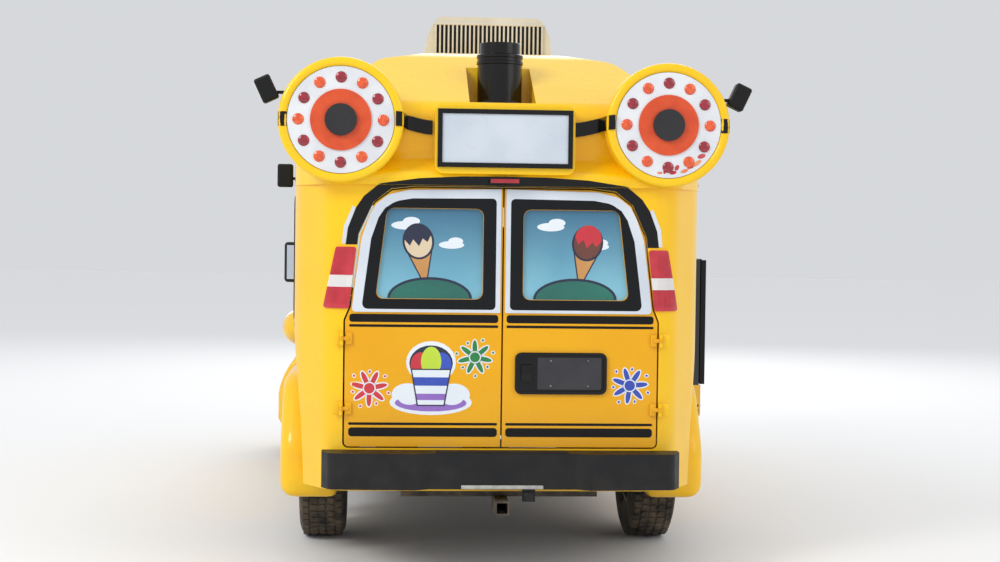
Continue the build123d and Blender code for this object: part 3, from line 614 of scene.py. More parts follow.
# a black sheet just behind the slats: painted shade of the fan space
fan_shade_sheet = painted(rounded_block((grille_width, 0.004, grille_height), 0.0015, 1), 1)
put(slats, fan_shade_sheet, at(0, shroud_low.y - 0.001, grille_middle))
for number in range(-12, 14):
    put(slats, rounded_block((0.0095, 0.016, grille_height), 0.003),
        at((number - 0.5) * slat_pitch, slat_y, grille_middle))
for z in (grille_bottom, grille_bottom + grille_height):
    put(slats, rounded_block((grille_width + 0.02, 0.018, 0.012), 0.003), at(0, slat_y, z))
piece("air_slats", slats, "van_body", "air_shroud", shroud_beige, case_black)

# radius and height along the vent stack: foot ring, pipe, two bands, the open mouth and its floor
vent_outline = [
    (0.104, 2.250), (0.128, 2.250), (0.128, 2.261), (0.124, 2.265), (0.113, 2.267), (0.110, 2.271),
    (0.110, 2.452), (0.115, 2.455), (0.115, 2.468), (0.1115, 2.471), (0.1115, 2.484), (0.115, 2.487),
    (0.115, 2.499), (0.112, 2.502), (0.100, 2.505), (0.100, 2.5565), (0.0975, 2.5595), (0.0935, 2.5595),
    (0.091, 2.5565), (0.091, 2.505), (0.0, 2.504), (0.0, 2.250), (0.104, 2.250),
]
vent = turned(vent_outline, 64, "Z")
vent_low, vent_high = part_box("vent_stack")
vent.transform(at(0, (vent_low.y + vent_high.y) / 2, 0))
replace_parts(piece("vent_pipe", vent, "van_body", "black_metal", black_gloss), "vent_stack")
lens_clear = finish("lens_clear", (226, 226, 222), (212, 212, 208), 0.14, coat=0.8, mottle=20)
flood_lenses = bmesh.new()
# middle of each work lamp, and its tilt
for x, y, z, tilt in ((1.120, -2.655, 2.285, 25), (-1.120, -2.655, 2.285, -25), (-1.075, -1.775, 1.910, 0)):
    lens = rounded_block((0.004, 0.054, 0.104), 0.0015, 1)
    put(flood_lenses, lens, at(x, y, z) @ turn(tilt, "Y") @ at(math.copysign(0.0405, x), 0, 0))
piece("flood_lenses", flood_lenses, "van_body", "lamp_lens", lens_clear)

# Rear doors: each window is a printed film behind a black border, in a frame painted white. Black vinyl
# stripes with rounded ends cross the panels above and below.

sides = ((-1, "left"), (1, "right"))
rear_skin = skin_of("rear_door_left", "rear_door_right")
stripe_vinyl = finish("stripe_vinyl", (16, 15, 15), (20, 19, 18), 0.4, mottle=6, shine=0.25)
frame_white = finish("frame_white", (216, 222, 230), (200, 208, 218), 0.35, coat=0.4, mottle=4)
border_black = finish("border_black", (10, 14, 18), (13, 17, 22), 0.22, grain=200, shine=0.3)
# height of the middle of each stripe, and its own height
stripe_rows = [(1.217, 0.038), (1.181, 0.012), (0.718, 0.012), (0.679, 0.042)]
stripe_inner_x = 0.020
stripe_outer_x = 0.722
vinyl_thickness = 0.0012
for side, name in sides:
    stripes = bmesh.new()
    for z, height in stripe_rows:
        band = strip(stripe_outer_x - stripe_inner_x, height, height * 0.35, 12)
        spot = at(side * (stripe_inner_x + stripe_outer_x) / 2, 0, z)
        put(stripes, lay_on(band, rear_skin, forwards, vinyl_thickness, spot))
    piece("rear_door_stripes_" + name, stripes, "door_rear_" + name, "black_plastic", stripe_vinyl)


def loop_of(points, radius):
    """A flat face with these corners in the X Z plane, rounded by one radius or by one for each corner."""
    made = bmesh.new()
    corners = [made.verts.new((x, 0, z)) for x, z in points]
    made.faces.new(corners)
    for corner, round_by in zip(corners, radius if isinstance(radius, list) else [radius] * len(corners)):
        if round_by:
            soften(made, [corner], round_by, 4, "VERTICES")
    return made


def ring_of(outer, outer_radius, inner, inner_radius):
    """A flat ring in the X Z plane between two outlines, with its long edges cut up."""
    made = bmesh.new()
    put(made, loop_of(outer, outer_radius))
    put(made, loop_of(inner, inner_radius))
    bmesh.ops.delete(made, geom=list(made.faces), context="FACES_ONLY")
    for _ in range(3):
        long_edges = [e for e in made.edges if e.calc_length() > 0.08]
        if long_edges:
            bmesh.ops.subdivide_edges(made, edges=long_edges, cuts=1)
    bmesh.ops.bridge_loops(made, edges=list(made.edges))
    bmesh.ops.recalc_face_normals(made, faces=made.faces)
    return made


def mirrored(side):
    """Leaves a shape of the right side, 1, as it is, and mirrors it for the left, -1."""
    return Matrix.Scale(side, 4, (1, 0, 0))


white_outer = [(0.012, 1.246), (0.712, 1.246), (0.694, 1.405), (0.668, 1.596), (0.632, 1.697),
               (0.603, 1.752), (0.545, 1.799), (0.448, 1.822), (0.012, 1.8305)]
white_radius = [0.006, 0.020, 0, 0, 0, 0, 0.02, 0, 0.006]
border_outer = [(0.034, 1.260), (0.666, 1.260), (0.648, 1.405), (0.624, 1.590), (0.590, 1.690),
                (0.560, 1.735), (0.510, 1.768), (0.430, 1.782), (0.034, 1.786)]
border_radius = [0.02, 0.03, 0, 0, 0, 0, 0.02, 0, 0.02]
pane_outline = [(0.094, 1.308), (0.602, 1.308), (0.550, 1.737), (0.094, 1.737)]
for side, name in sides:
    ring = ring_of(white_outer, white_radius, border_outer, border_radius)
    ring = lay_on(ring, rear_skin, forwards, 0.008, mirrored(side))
    piece("window_frame_" + name, ring, "door_rear_" + name, "body_paint", frame_white)
    ring = ring_of(border_outer, border_radius, pane_outline, 0.036)
    ring = lay_on(ring, rear_skin, forwards, 0.004, mirrored(side))
    piece("window_border_" + name, ring, "door_rear_" + name, "black_plastic", border_black)

# Rear door hinges: forged steel under the body's paint, two to a door. A leaf is bolted to the pillar and
# one to the door, and their knuckles share a pin.

door_face_y = -2.675
hinge_x = 0.757
knuckle_radius = 0.0085
# whether it turns with the door, and where each knuckle starts and ends along the pin
knuckle_rows = [(0, -0.030, -0.0105), (0, 0.0105, 0.030), (1, -0.0095, 0.0095)]
# whether it turns with the door, the size of each leaf, and its place across from the pin and from the door
leaf_rows = [(0, (0.040, 0.006, 0.060), 0.024, -0.0030), (1, (0.036, 0.006, 0.019), -0.018, -0.0115),
             (1, (0.030, 0.010, 0.056), -0.034, -0.0050)]
for side, name in sides:
    halves = (bmesh.new(), bmesh.new())
    for z in (0.790, 1.120):
        for half, low, high in knuckle_rows:
            ends = [(side * hinge_x, door_face_y - 0.015, z + along) for along in (low, high)]
            put(halves[half], tube(ends, knuckle_radius, 20))
        for half, size, x, y in leaf_rows:
            put(halves[half], rounded_block(size, 0.002), at(side * (hinge_x + x), door_face_y + y, z))
    piece("hinge_fixed_" + name, halves[0], "van_body", "body_paint", enamel)
    piece("hinge_turning_" + name, halves[1], "door_rear_" + name, "body_paint", shaded_door_enamel)

# Printed film on the rear windows: vinyl stuck to the glass, with a blue sky, a round green hill along the
# bottom, and a scoop of ice in a cone on each.

window_film = finish("window_film", (126, 186, 206), (108, 172, 196), 0.18, coat=0.5, mottle=3, fade=("Z",
                     1.36, 1.76, (44, 98, 130)))
give(window_film, "rear_door_glass_left", "rear_door_glass_right", "side_windows")
print_colours = [
    ("navy", (24, 32, 58), (28, 36, 62)), ("green", (34, 112, 96), (28, 96, 86)),
    ("white", (232, 238, 242), (222, 230, 238)), ("cream", (226, 208, 176), (214, 192, 158)),
    ("brown", (112, 62, 50), (94, 50, 42)), ("red", (206, 50, 60), (190, 38, 52)),
    ("tan", (206, 150, 86), (190, 134, 74)), ("blue", (54, 84, 190), (44, 70, 170)),
    ("lime", (196, 222, 60), (176, 206, 48)), ("lilac", (150, 110, 196), (132, 94, 180)),
    ("leaf", (30, 140, 66), (24, 120, 58)),
]
print_paints = [finish("print_" + name, light, dark, 0.3, coat=0.4) for name, light, dark in print_colours]
navy, green, white, cream, brown, red, tan, blue, lime, lilac, leaf = range(11)


def hill(x, low, wide, high, count=20):
    """The upper half of an oval that stands on the line low."""
    return [(x + wide / 2 * math.cos(math.pi * n / count), low + high * math.sin(math.pi * n / count))
            for n in range(count + 1)]


def moved(rows, x, z, lean=0.0):
    """These sticker rows, turned by so many degrees about the origin and then moved to x, z."""
    across, up = math.cos(math.radians(lean)), math.sin(math.radians(lean))
    return [([(x + u * across - v * up, z + u * up + v * across) for u, v in points], paint, layer)
            for points, paint, layer in rows]


def cone_rows(tall, scoop, sauce):
    """A cone of this height with its tip at the origin, its scoop and the sauce on it, outlined in navy."""
    wide = tall * 0.34
    rows = []
    for grow, paint, layer in ((0.010, navy, 1), (0.0, tan, 2)):
        half, top = wide / 2 + grow, tall * 0.52 + grow
        rows.append(([(0, -grow * 2), (half, top), (-half, top)], paint, layer))
    for grow, paint, layer in ((0.010, navy, 3), (0.0, scoop, 4)):
        rows.append((oval(0, tall * 0.64, wide * 1.15 + grow * 2, tall * 0.46 + grow * 2), paint, layer))
    drips = [(-0.38, 0.60), (-0.2, 0.68), (0.0, 0.57), (0.2, 0.67), (0.38, 0.61)]
    drips = [(wide * across, tall * up) for across, up in drips]
    return rows + [(hill(0, tall * 0.70, wide * 1.14, tall * 0.20, 14) + drips, sauce, 5)]


# middle of each oval of the two clouds, its width, height and layer
cloud_ovals = [(-0.12, 1.655, 0.13, 0.040, 0), (-0.09, 1.675, 0.08, 0.040, 1), (0.10, 1.565, 0.12, 0.036, 0),
               (0.12, 1.583, 0.07, 0.036, 1)]
pane_bottom = 1.312
for side, name, scoop, sauce in ((-1, "left", cream, navy), (1, "right", brown, red)):
    middle = side * 0.345
    rows = [(oval(middle + x, z, wide, high), white, layer) for x, z, wide, high, layer in cloud_ovals]
    rows += moved(cone_rows(0.33, scoop, sauce), middle + side * 0.02, 1.372, -side * 10)
    rows += [(hill(middle, pane_bottom, 0.40, 0.100), navy, 6),
             (hill(middle, pane_bottom, 0.375, 0.088), green, 7)]
    stickers("window_print_" + name, "door_rear_" + name, "film_glass", rows,
             skin_of("rear_door_glass_" + name), print_paints)

# Number plate: a black moulded well let into the right door, with a lever handle in it, and a blank dark
# plate of pressed aluminium held by four screws.


def rectangle(low_x, low_z, high_x, high_z):
    """The corners of a flat rectangle in the X Z plane."""
    return [(low_x, low_z), (high_x, low_z), (high_x, high_z), (low_x, high_z)]


def grown(points, by):
    """These corners of a shape, each moved outwards from its middle by so much on both axes."""
    middle_x = sum(x for x, z in points) / len(points)
    middle_z = sum(z for x, z in points) / len(points)
    return [(x + by * (1 if x > middle_x else -1), z + by * (1 if z > middle_z else -1)) for x, z in points]


plate_dark = finish("plate_dark", (40, 38, 44), (48, 46, 50), 0.35, coat=0.3, mottle=8)
well_outer = rectangle(0.062, 0.862, 0.500, 1.060)
well_inner = grown(well_outer, -0.014)
well = lay_on(ring_of(well_outer, 0.030, well_inner, 0.024), rear_skin, forwards, 0.012)
put(well, lay_on(loop_of(well_inner, 0.024), rear_skin, forwards, 0.003))
put(well, rounded_block((0.055, 0.014, 0.085), 0.005), at(0.118, door_face_y - 0.009, 0.961))
piece("plate_well", well, "door_rear_right", "black_plastic", black_gloss)
plate_x = 0.322
plate_z = 0.961
plate_wide = 0.305
plate_tall = 0.152
number_plate = rounded_block((plate_wide, 0.0012, plate_tall), 0.0005, 1)
number_plate.transform(at(plate_x, door_face_y - 0.0042, plate_z))
plate_edge = rectangle(plate_x - plate_wide / 2, plate_z - plate_tall / 2, plate_x + plate_wide / 2,
                       plate_z + plate_tall / 2)
raised_rim = ring_of(plate_edge, 0.008, grown(plate_edge, -0.005), 0.006)
put(number_plate, lay_on(raised_rim, rear_skin, forwards, 0.0018, lift=0.0045))
for x in (-0.089, 0.089):
    for z in (-0.060, 0.060):
        put(number_plate, dome((0.0055,) * 3, 10, 6, 1), at(plate_x + x, door_face_y - 0.005, plate_z + z))
piece("number_plate", number_plate, "door_rear_right", "body_paint", plate_dark, screw_steel)

# Stickers on the rear doors: cut vinyl, a cup of shaved ice and three flowers in red, green and blue, each
# with white edges and drops round it.


def flower(x, z, size, paint, start):
    """Seven long petals round a middle, with drops between them, all edged in white."""
    rows = []
    for number in range(7):
        angle = start + 360 * number / 7
        spot = on_circle(size * 0.27, 90 - angle)
        drop = on_circle(size * (0.44 if number % 2 else 0.52), 64 - angle)
        rows += [(oval(*spot, size * 0.42 + 0.012, size * 0.13 + 0.012, angle, 16), white, 0),
                 (oval(*spot, size * 0.42, size * 0.13, angle, 16), paint, 1),
                 (oval(*drop, 0.022, 0.018, angle, 12), white, 0),
                 (oval(*drop, 0.013, 0.010, angle, 12), paint, 1)]
    rows += [(oval(0, 0, size * across, size * across), colour, layer)
             for across, colour, layer in ((0.34, white, 2), (0.28, paint, 3))]
    return moved(rows, x, z)


# middle of each oval from the middle of the cup, its width, height, paint and layer
cup_ovals = [
    (0.0, -0.115, 0.390, 0.120, white, 0), (-0.11, -0.080, 0.150, 0.110, white, 1),
    (0.11, -0.080, 0.150, 0.110, white, 1), (0.0, 0.075, 0.236, 0.200, white, 2),
    (0.0, -0.118, 0.340, 0.080, lilac, 3), (-0.10, -0.092, 0.110, 0.070, white, 4),
    (0.10, -0.092, 0.110, 0.070, white, 4), (0.0, 0.070, 0.206, 0.170, navy, 3),
    (-0.050, 0.062, 0.094, 0.120, red, 5), (0.050, 0.062, 0.094, 0.120, blue, 5),
    (0.0, 0.078, 0.096, 0.142, lime, 6),
]
# half width and height of the top and then of the foot of each band of the cup, its paint and layer
cup_bands = [
    (0.096, 0.044, 0.066, -0.132, navy, 7), (0.089, 0.038, 0.060, -0.126, white, 8),
    (0.083, 0.004, 0.076, -0.036, blue, 9), (0.069, -0.074, 0.064, -0.104, lilac, 9),
]
cup_rows = [(oval(x, z, wide, high), paint, layer) for x, z, wide, high, paint, layer in cup_ovals]
for half, top, foot_half, foot, paint, layer in cup_bands:
    cup_rows.append(([(-half, top), (-foot_half, foot), (foot_half, foot), (half, top)], paint, layer))
left_rows = moved(cup_rows, -0.335, 0.935) + flower(-0.625, 0.885, 0.18, red, 12)
left_rows += flower(-0.128, 1.035, 0.17, leaf, 40)
right_rows = flower(0.612, 0.905, 0.18, blue, 5)
stickers("door_stickers_left", "door_rear_left", "body_paint", left_rows, rear_skin, print_paints)
stickers("door_stickers_right", "door_rear_right", "body_paint", right_rows, rear_skin, print_paints)

# Flavour station stripes: two stripes cut from black vinyl, a thin one over a wide one, stuck round the
# three open sides of the yellow base.

station_skin = skin_of("flavour_station")
station_low, station_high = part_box("flavour_station")
station_stripes = bmesh.new()
for z, height in ((0.652, 0.015), (0.616, 0.036)):
    for end in (1, -1):
        band = strip(0.225, height, 0, 8)
        spot = at(1.139, 0, z) @ facing[end]
        put(station_stripes, lay_on(band, station_skin, (0, end, 0), vinyl_thickness, spot))
    band = strip(station_high.y - station_low.y - 0.006, height, 0, 30)
    spot = at(0, (station_low.y + station_high.y) / 2, z) @ turned_to(1)
    put(station_stripes, lay_on(band, station_skin, (-1, 0, 0), vinyl_thickness, spot))
piece("station_stripes", station_stripes, "van_body", "black_plastic", stripe_vinyl)

# Tail lamps: moulded red lenses with fine upright ribs and a white band, set in the rear corners. Above
# them the doors are framed by a black painted band with a centre stop lamp, edged by a pale sliver. Where
# the band runs onto the roof cap's lower lip and into the seam under it, its black is partly painted
# shadow of the cap's overhang.

lens_red = finish("lens_red", (200, 40, 56), (184, 28, 46), 0.14, coat=0.8, mottle=20, bands=[("Z", 1.362,
                  1.418, (226, 222, 220))])
give(lens_red, "tail_lamps")
lamp_skin = skin_of("tail_lamps")
lamp_foot = 1.261
lamp_tall = 0.29
rib_foot = 1.280
ribs = bmesh.new()
for side in (1, -1):
    for z in (1.3615, 1.4185, 1.520):
        share = (z - lamp_foot) / lamp_tall
        inner = 0.733 - 0.032 * share
        outer = 0.842 - 0.060 * share
        spot = at(side * (inner + outer) / 2, 0, z)
        put(ribs, lay_on(strip(outer - inner, 0.003, 0, 6), lamp_skin, forwards, 0.0012, spot))
    for number in range(14):
        x = 0.742 + number * 0.0068
        rib_head = min(1.543, 1.546 - lamp_tall * max(0.0, (x - 0.786) / 0.062))
        if rib_head > 1.285:
            rib = strip(0.0022, rib_head - rib_foot, 0, 1)
            put(ribs, lay_on(rib, lamp_skin, forwards, 0.001, at(side * x, 0, (rib_head + rib_foot) / 2)))
piece("tail_lamp_ribs", ribs, "van_body", "lamp_lens", lens_red)


def band_of(first, second, cut=0.03, across=3):
    """A flat band in the X Z plane between two lines with as many points each."""
    made = bmesh.new()
    rows = []
    for n in range(len(first) - 1):
        steps = max(1, round(math.dist(first[n], first[n + 1]) / cut))
        for step in range(steps + (n == len(first) - 2)):
            ends = []
            for line in (first, second):
                (xa, za), (xb, zb) = line[n], line[n + 1]
                ends.append(Vector((xa + (xb - xa) * step / steps, 0, za + (zb - za) * step / steps)))
            rows.append([made.verts.new(ends[0].lerp(ends[1], k / across)) for k in range(across + 1)])
    for row, after in zip(rows, rows[1:]):
        for k in range(across):
            made.faces.new((row[k], row[k + 1], after[k + 1], after[k]))
    bmesh.ops.remove_doubles(made, verts=made.verts, dist=0.0002)
    return made


frame_skin = skin_of("rear_frame")
band_inner = [(0.6885, 1.562), (0.6830, 1.612), (0.6150, 1.7620), (0.5900, 1.782), (0.5310, 1.8275),
              (0.4140, 1.8412), (0.0, 1.8412)]
band_outer = [(0.7430, 1.562), (0.7330, 1.640), (0.6960, 1.736), (0.6600, 1.790), (0.5950, 1.8430),
              (0.4140, 1.8436), (0.0, 1.8436)]
# the lip on the roof cap carries the band upwards; its black is partly painted shadow under the cap's overhang
shadow_lip_lower = [(0.592, 1.8466), (0.40, 1.8466), (0.20, 1.8466), (0.0, 1.8466)]
shadow_lip_upper = [(0.572, 1.852), (0.40, 1.877), (0.20, 1.888), (0.0, 1.890)]
sliver_inner = [(0.7435, 1.566), (0.7340, 1.640), (0.6970, 1.736)]
sliver_outer = [(0.7610, 1.566), (0.7530, 1.646), (0.7120, 1.744)]
door_band_and_shadow = bmesh.new()
for side in (1, -1):
    for first, second, skin in ((band_inner, band_outer, frame_skin), (shadow_lip_lower, shadow_lip_upper, roof_skin)):
        put(door_band_and_shadow, lay_on(band_of(first, second), skin, forwards, 0.0012, mirrored(side)))
# a thin black strip in the seam under the cap: painted shadow of the overhang
put(door_band_and_shadow, rounded_block((1.180, 0.0225, 0.0016), 0.0005, 1), at(0, roof_low.y + 0.0465, 1.8442))
piece("door_band_and_shadow", door_band_and_shadow, "van_body", "body_paint", black_gloss)
slivers = bmesh.new()
for side in (1, -1):
    put(slivers, lay_on(band_of(sliver_inner, sliver_outer), frame_skin, forwards, 0.002, mirrored(side)))
piece("door_slivers", slivers, "van_body", "body_paint", frame_white)
stop_red = finish("stop_red", (176, 24, 44), (150, 16, 36), 0.16, coat=0.7, mottle=30)
stop_lamp = rounded_block((0.148, 0.016, 0.030), 0.004)
put(stop_lamp, painted(rounded_block((0.134, 0.006, 0.019), 0.002), 1), at(0, -0.009, 0))
stop_lamp.transform(at(0, roof_low.y + 0.024, 1.868))
piece("stop_lamp", stop_lamp, "van_body", "black_plastic", black_gloss, stop_red)

# Bumpers: moulded black plastic covers over steel beams. The rear one has a pale step edge in its middle,
# and the trailer socket hangs below it. The grille and the mirrors are the same plastic.

bumper_black = finish("bumper_black", (19, 20, 22), (23, 23, 25), 0.48, grain=700, depth=0.0004, dust=0.06,
                      shine=0.35)
step_grey = finish("step_grey", (176, 176, 170), (150, 150, 146), 0.5, mottle=30, grain=300)
give(bumper_black, "front_bumper", "rear_bumper", "grille", "mirror_left", "mirror_right")
bumper_low, bumper_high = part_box("rear_bumper")
step_edge = rounded_block((0.385, 0.012, 0.018), 0.004)
step_edge.transform(at(0, bumper_low.y + 0.041, 0.437))
piece("step_edge", step_edge, "van_body", "black_plastic", step_grey)
treads = bmesh.new()
tread_pitch = 0.013
for number in range(7):
    tread = rounded_block((0.62, 0.008, 0.004), 0.0015, 1)
    put(treads, tread, at(0, bumper_low.y + 0.060 + number * tread_pitch, bumper_high.z + 0.0012))
piece("step_treads", treads, "van_body", "black_plastic", bumper_black)
socket_outline = [(0.0, 0.030), (0.019, 0.030), (0.019, 0.0), (0.023, 0.0), (0.023, -0.006), (0.018, -0.010),
                  (0.0, -0.010)]
trailer_socket = turned(socket_outline, 24, "Y")
put(trailer_socket, rounded_block((0.062, 0.004, 0.075), 0.0015, 1), at(0, 0.004, 0.012))
trailer_socket.transform(at(0.125, bumper_low.y + 0.055, 0.392))
piece("trailer_socket", trailer_socket, "van_body", "black_plastic", bumper_black)

# Glass: clear laminated windshield and tempered door glass, faintly green, in black rubber gaskets. The
# wipers are pressed steel painted black, and the mirrors are silvered glass in their housings.

clear_glass = plain("clear_glass", {"Base Color": shade(225, 238, 232), "Roughness": 0.02, "IOR": 1.45,
                                    "Transmission Weight": 1.0})
give(clear_glass, "windshield", "front_door_glass_left", "front_door_glass_right")
gasket_rubber = finish("gasket_rubber", (24, 24, 25), (30, 30, 31), 0.6, grain=300)
rearwards = (0, -1, 0)
sill_z = 1.200
head_z = 1.780
door_opening = [(0.360, 1.240), (1.228, 1.240), (0.948, 1.720), (0.360, 1.720)]
# side, the body it rides on, the CAD node it seats on, the opening's corners and their radius
opening_rows = [
    (-1, "van_body", "body_side_left", rectangle(-2.205, sill_z, -1.525, head_z), 0.05),
    (-1, "van_body", "body_side_left", rectangle(-1.425, sill_z, -0.675, head_z), 0.05),
    (-1, "van_body", "body_side_left", rectangle(-0.575, sill_z, 0.175, head_z), 0.05),
    (1, "van_body", "body_side_right", rectangle(-2.205, sill_z, -1.275, head_z), 0.05),
    (-1, "door_front_left", "front_door_left", door_opening, 0.045),
    (1, "door_front_right", "front_door_right", door_opening, 0.045),
]
riders = ("van_body", "door_front_left", "door_front_right")
gaskets = {body: bmesh.new() for body in riders}
for side, body, skin_name, corners, radius in opening_rows:
    ring = ring_of(grown(corners, 0.018), radius + 0.018, grown(corners, 0.001), radius)
    spot = turned_to(side) @ mirrored(side)
    put(gaskets[body], lay_on(ring, skin_of(skin_name), (-side, 0, 0), 0.006, spot))
for body in riders[1:]:
    piece("window_gasket_" + body, gaskets[body], body, "black_plastic", gasket_rubber)
shield = [(-0.820, 1.225), (0.820, 1.225), (0.715, 1.813), (-0.715, 1.813)]
ring = ring_of(grown(shield, 0.020), 0.07, grown(shield, 0.001), 0.05)
shield_frame = ("cowl_panel", "body_side_left", "body_side_right")
put(gaskets["van_body"], lay_on(ring, skin_of(*shield_frame), rearwards, 0.008))
piece("window_gaskets", gaskets["van_body"], "van_body", "black_plastic", gasket_rubber)
shield_skin = skin_of("windshield", *shield_frame)
wipers = bmesh.new()
for pivot_x, tip_x in ((0.52, -0.10), (-0.12, -0.72)):
    line = []
    for number in range(9):
        x = pivot_x + (tip_x - pivot_x) * number / 8
        z = 1.232 + 0.07 * number / 8
        hit = shield_skin.ray_cast(Vector((x, 4, z)), Vector(rearwards))[0]
        line.append((x, hit.y + 0.016, z))
    put(wipers, tube(line, 0.005, 8))
    put(wipers, tube([(pivot_x, line[0][1] + 0.004, 1.225), (pivot_x, line[0][1] - 0.03, 1.205)], 0.013, 14))
piece("wipers", wipers, "van_body", "black_metal", case_black)
mirror_silver = finish("mirror_silver", (214, 220, 226), (208, 214, 220), 0.03, 1.0)
for side, name in sides:
    pane = rounded_block((0.134, 0.003, 0.236), 0.0012, 1)
    pane.transform(at(side * 1.155, 1.2595, 1.410))
    piece("mirror_pane_" + name, pane, "door_front_" + name, "clear_glass", mirror_silver)

# Side trim: black vinyl stripes under the windows and near the sill, a flower sticker on each cab door,
# moulded pull handles, the steel fuel flap on the left, and the rubber edge and grips of the hatch.

# height of the middle of each stripe and its own height
upper_pair = [(1.154, 0.038), (1.118, 0.012)]
lower_pair = [(0.726, 0.012), (0.755, 0.030)]
# side, the body it rides on, the CAD node it is stuck to, where it starts and ends, and its stripes
run_rows = [
    (-1, "van_body", "body_side_left", -2.235, 0.265, upper_pair),
    (-1, "van_body", "body_side_left", -0.875, 0.265, lower_pair),
    (1, "van_body", "body_side_right", -2.235, -1.075, upper_pair),
    (-1, "door_front_left", "front_door_left", 0.320, 1.300, upper_pair + lower_pair),
    (1, "door_front_right", "front_door_right", 0.320, 1.300, upper_pair + lower_pair),
]
runs = {body: bmesh.new() for body in riders}
for side, body, skin_name, rear, front, pair in run_rows:
    for z, height in pair:
        band = strip(front - rear, height, height * 0.35, 40)
        spot = at(0, (rear + front) / 2, z) @ turned_to(side)
        put(runs[body], lay_on(band, skin_of(skin_name), (-side, 0, 0), vinyl_thickness, spot))
for body in riders:
    piece("side_stripes_" + body, runs[body], body, "black_plastic", stripe_vinyl)
door_skins = {name: skin_of("front_door_" + name) for side, name in sides}
for side, name in sides:
    hit = door_skins[name].ray_cast(Vector((side * 3, 0.400, 1.035)), Vector((-side, 0, 0)))[0]
    handle = rounded_block((0.014, 0.150, 0.050), 0.005)
    put(handle, rounded_block((0.018, 0.120, 0.020), 0.006), at(side * 0.010, 0.004, 0.004))
    handle.transform(at(*hit))
    piece("door_handle_" + name, handle, "door_front_" + name, "black_plastic", case_black)
flap = loop_of(rectangle(-0.395, 0.90, -0.225, 1.07), 0.02)
flap = lay_on(flap, skin_of("body_side_left"), (1, 0, 0), 0.003, turned_to(-1) @ mirrored(-1))
piece("fuel_flap", flap, "van_body", "body_paint", enamel)
hatch_low, hatch_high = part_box("serving_hatch")
hatch_edge = rectangle(hatch_low.y, hatch_low.z, hatch_high.y, hatch_high.z)
hatch_trim = ring_of(grown(hatch_edge, -0.004), 0.03, grown(hatch_edge, -0.008), 0.022)
hatch_trim = lay_on(hatch_trim, skin_of("serving_hatch"), (-1, 0, 0), 0.003, turned_to(1))
for y in (-0.38, 0.38):
    put(hatch_trim, rounded_block((0.024, 0.130, 0.018), 0.006),
        at(hatch_high.x + 0.008, (hatch_low.y + hatch_high.y) / 2 + y, hatch_low.z + 0.060))
piece("hatch_trim", hatch_trim, "hatch_panel", "black_plastic", gasket_rubber)
for (side, name), paint in zip(sides, (leaf, red)):
    stickers("front_door_sticker_" + name, "door_front_" + name, "body_paint",
             flower(side * 0.805, 0.93, 0.20, paint, 20), door_skins[name], print_paints, turned_to(side),
             (-side, 0, 0))

# Front lamps: bullet headlamps of pressed steel in the body's paint, each on a saddle welded to its fender,
# with a domed clear lens in a bright rim. Amber turn lamps are screwed to the nose.

lamp_chrome = finish("lamp_chrome", (206, 206, 208), (190, 190, 192), 0.12, 1.0)
amber = finish("lens_amber", (240, 136, 24), (228, 120, 16), 0.14, coat=0.8, mottle=40)
lamp_face_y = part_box("headlamps")[1].y
lamp_x = 1.160
lamp_z = 0.915
# radius and place along the lamp, from its face backwards
lens_outline = [(0.0, 0.028), (0.045, 0.024), (0.080, 0.013), (0.106, -0.002)]
rim_outline = [(0.104, -0.006), (0.104, 0.003), (0.110, 0.010), (0.118, 0.010), (0.127, 0.002),
               (0.1295, -0.012), (0.1295, -0.030), (0.120, -0.034)]
shell_outline = [(0.100, -0.020), (0.127, -0.022), (0.128, -0.090), (0.124, -0.130), (0.114, -0.175),
                 (0.097, -0.220), (0.072, -0.262), (0.040, -0.293), (0.015, -0.307), (0.0, -0.310)]
front_lamps = bmesh.new()
shells = bmesh.new()
for side in (1, -1):
    spot = at(side * lamp_x, lamp_face_y, lamp_z)
    put(front_lamps, turned(lens_outline, 48, "Y"), spot)
    put(front_lamps, painted(turned(rim_outline, 48, "Y"), 1), spot)
    put(shells, turned(shell_outline, 48, "Y"), spot)
    put(shells, dome((0.105, 0.150, 0.075), 28, 16), at(side * 1.075, lamp_face_y - 0.150, 0.842))
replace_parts(piece("headlamp_shells", shells, "van_body", "body_paint", enamel, crease=0.9), "headlamps")
nose_skin = skin_of("nose_panel", "hood")
amber_x = 0.56
amber_z = 0.76
for side in (1, -1):
    hit = nose_skin.ray_cast(Vector((side * amber_x, 4, amber_z)), Vector(rearwards))[0]
    amber_lens = painted(rounded_block((0.120, 0.024, 0.066), 0.009), 2)
    spot = at(side * amber_x, hit.y + 0.006, amber_z) @ Matrix.Rotation(-side * 0.08, 4, "Z")
    put(front_lamps, amber_lens, spot)
piece("front_lamps", front_lamps, "van_body", "lamp_lens", lens_clear, lamp_chrome, amber)

# Front seats: foam cushions in woven cloth with sewn channels, on pedestals and back plates of pressed
# steel that are bolted to the floor.

seat_cloth = finish("seat_cloth", (88, 92, 98), (70, 74, 80), 0.9, grain=900, depth=0.0008)
seat_steel = finish("seat_steel", (46, 46, 48), (54, 54, 56), 0.5, grain=200)


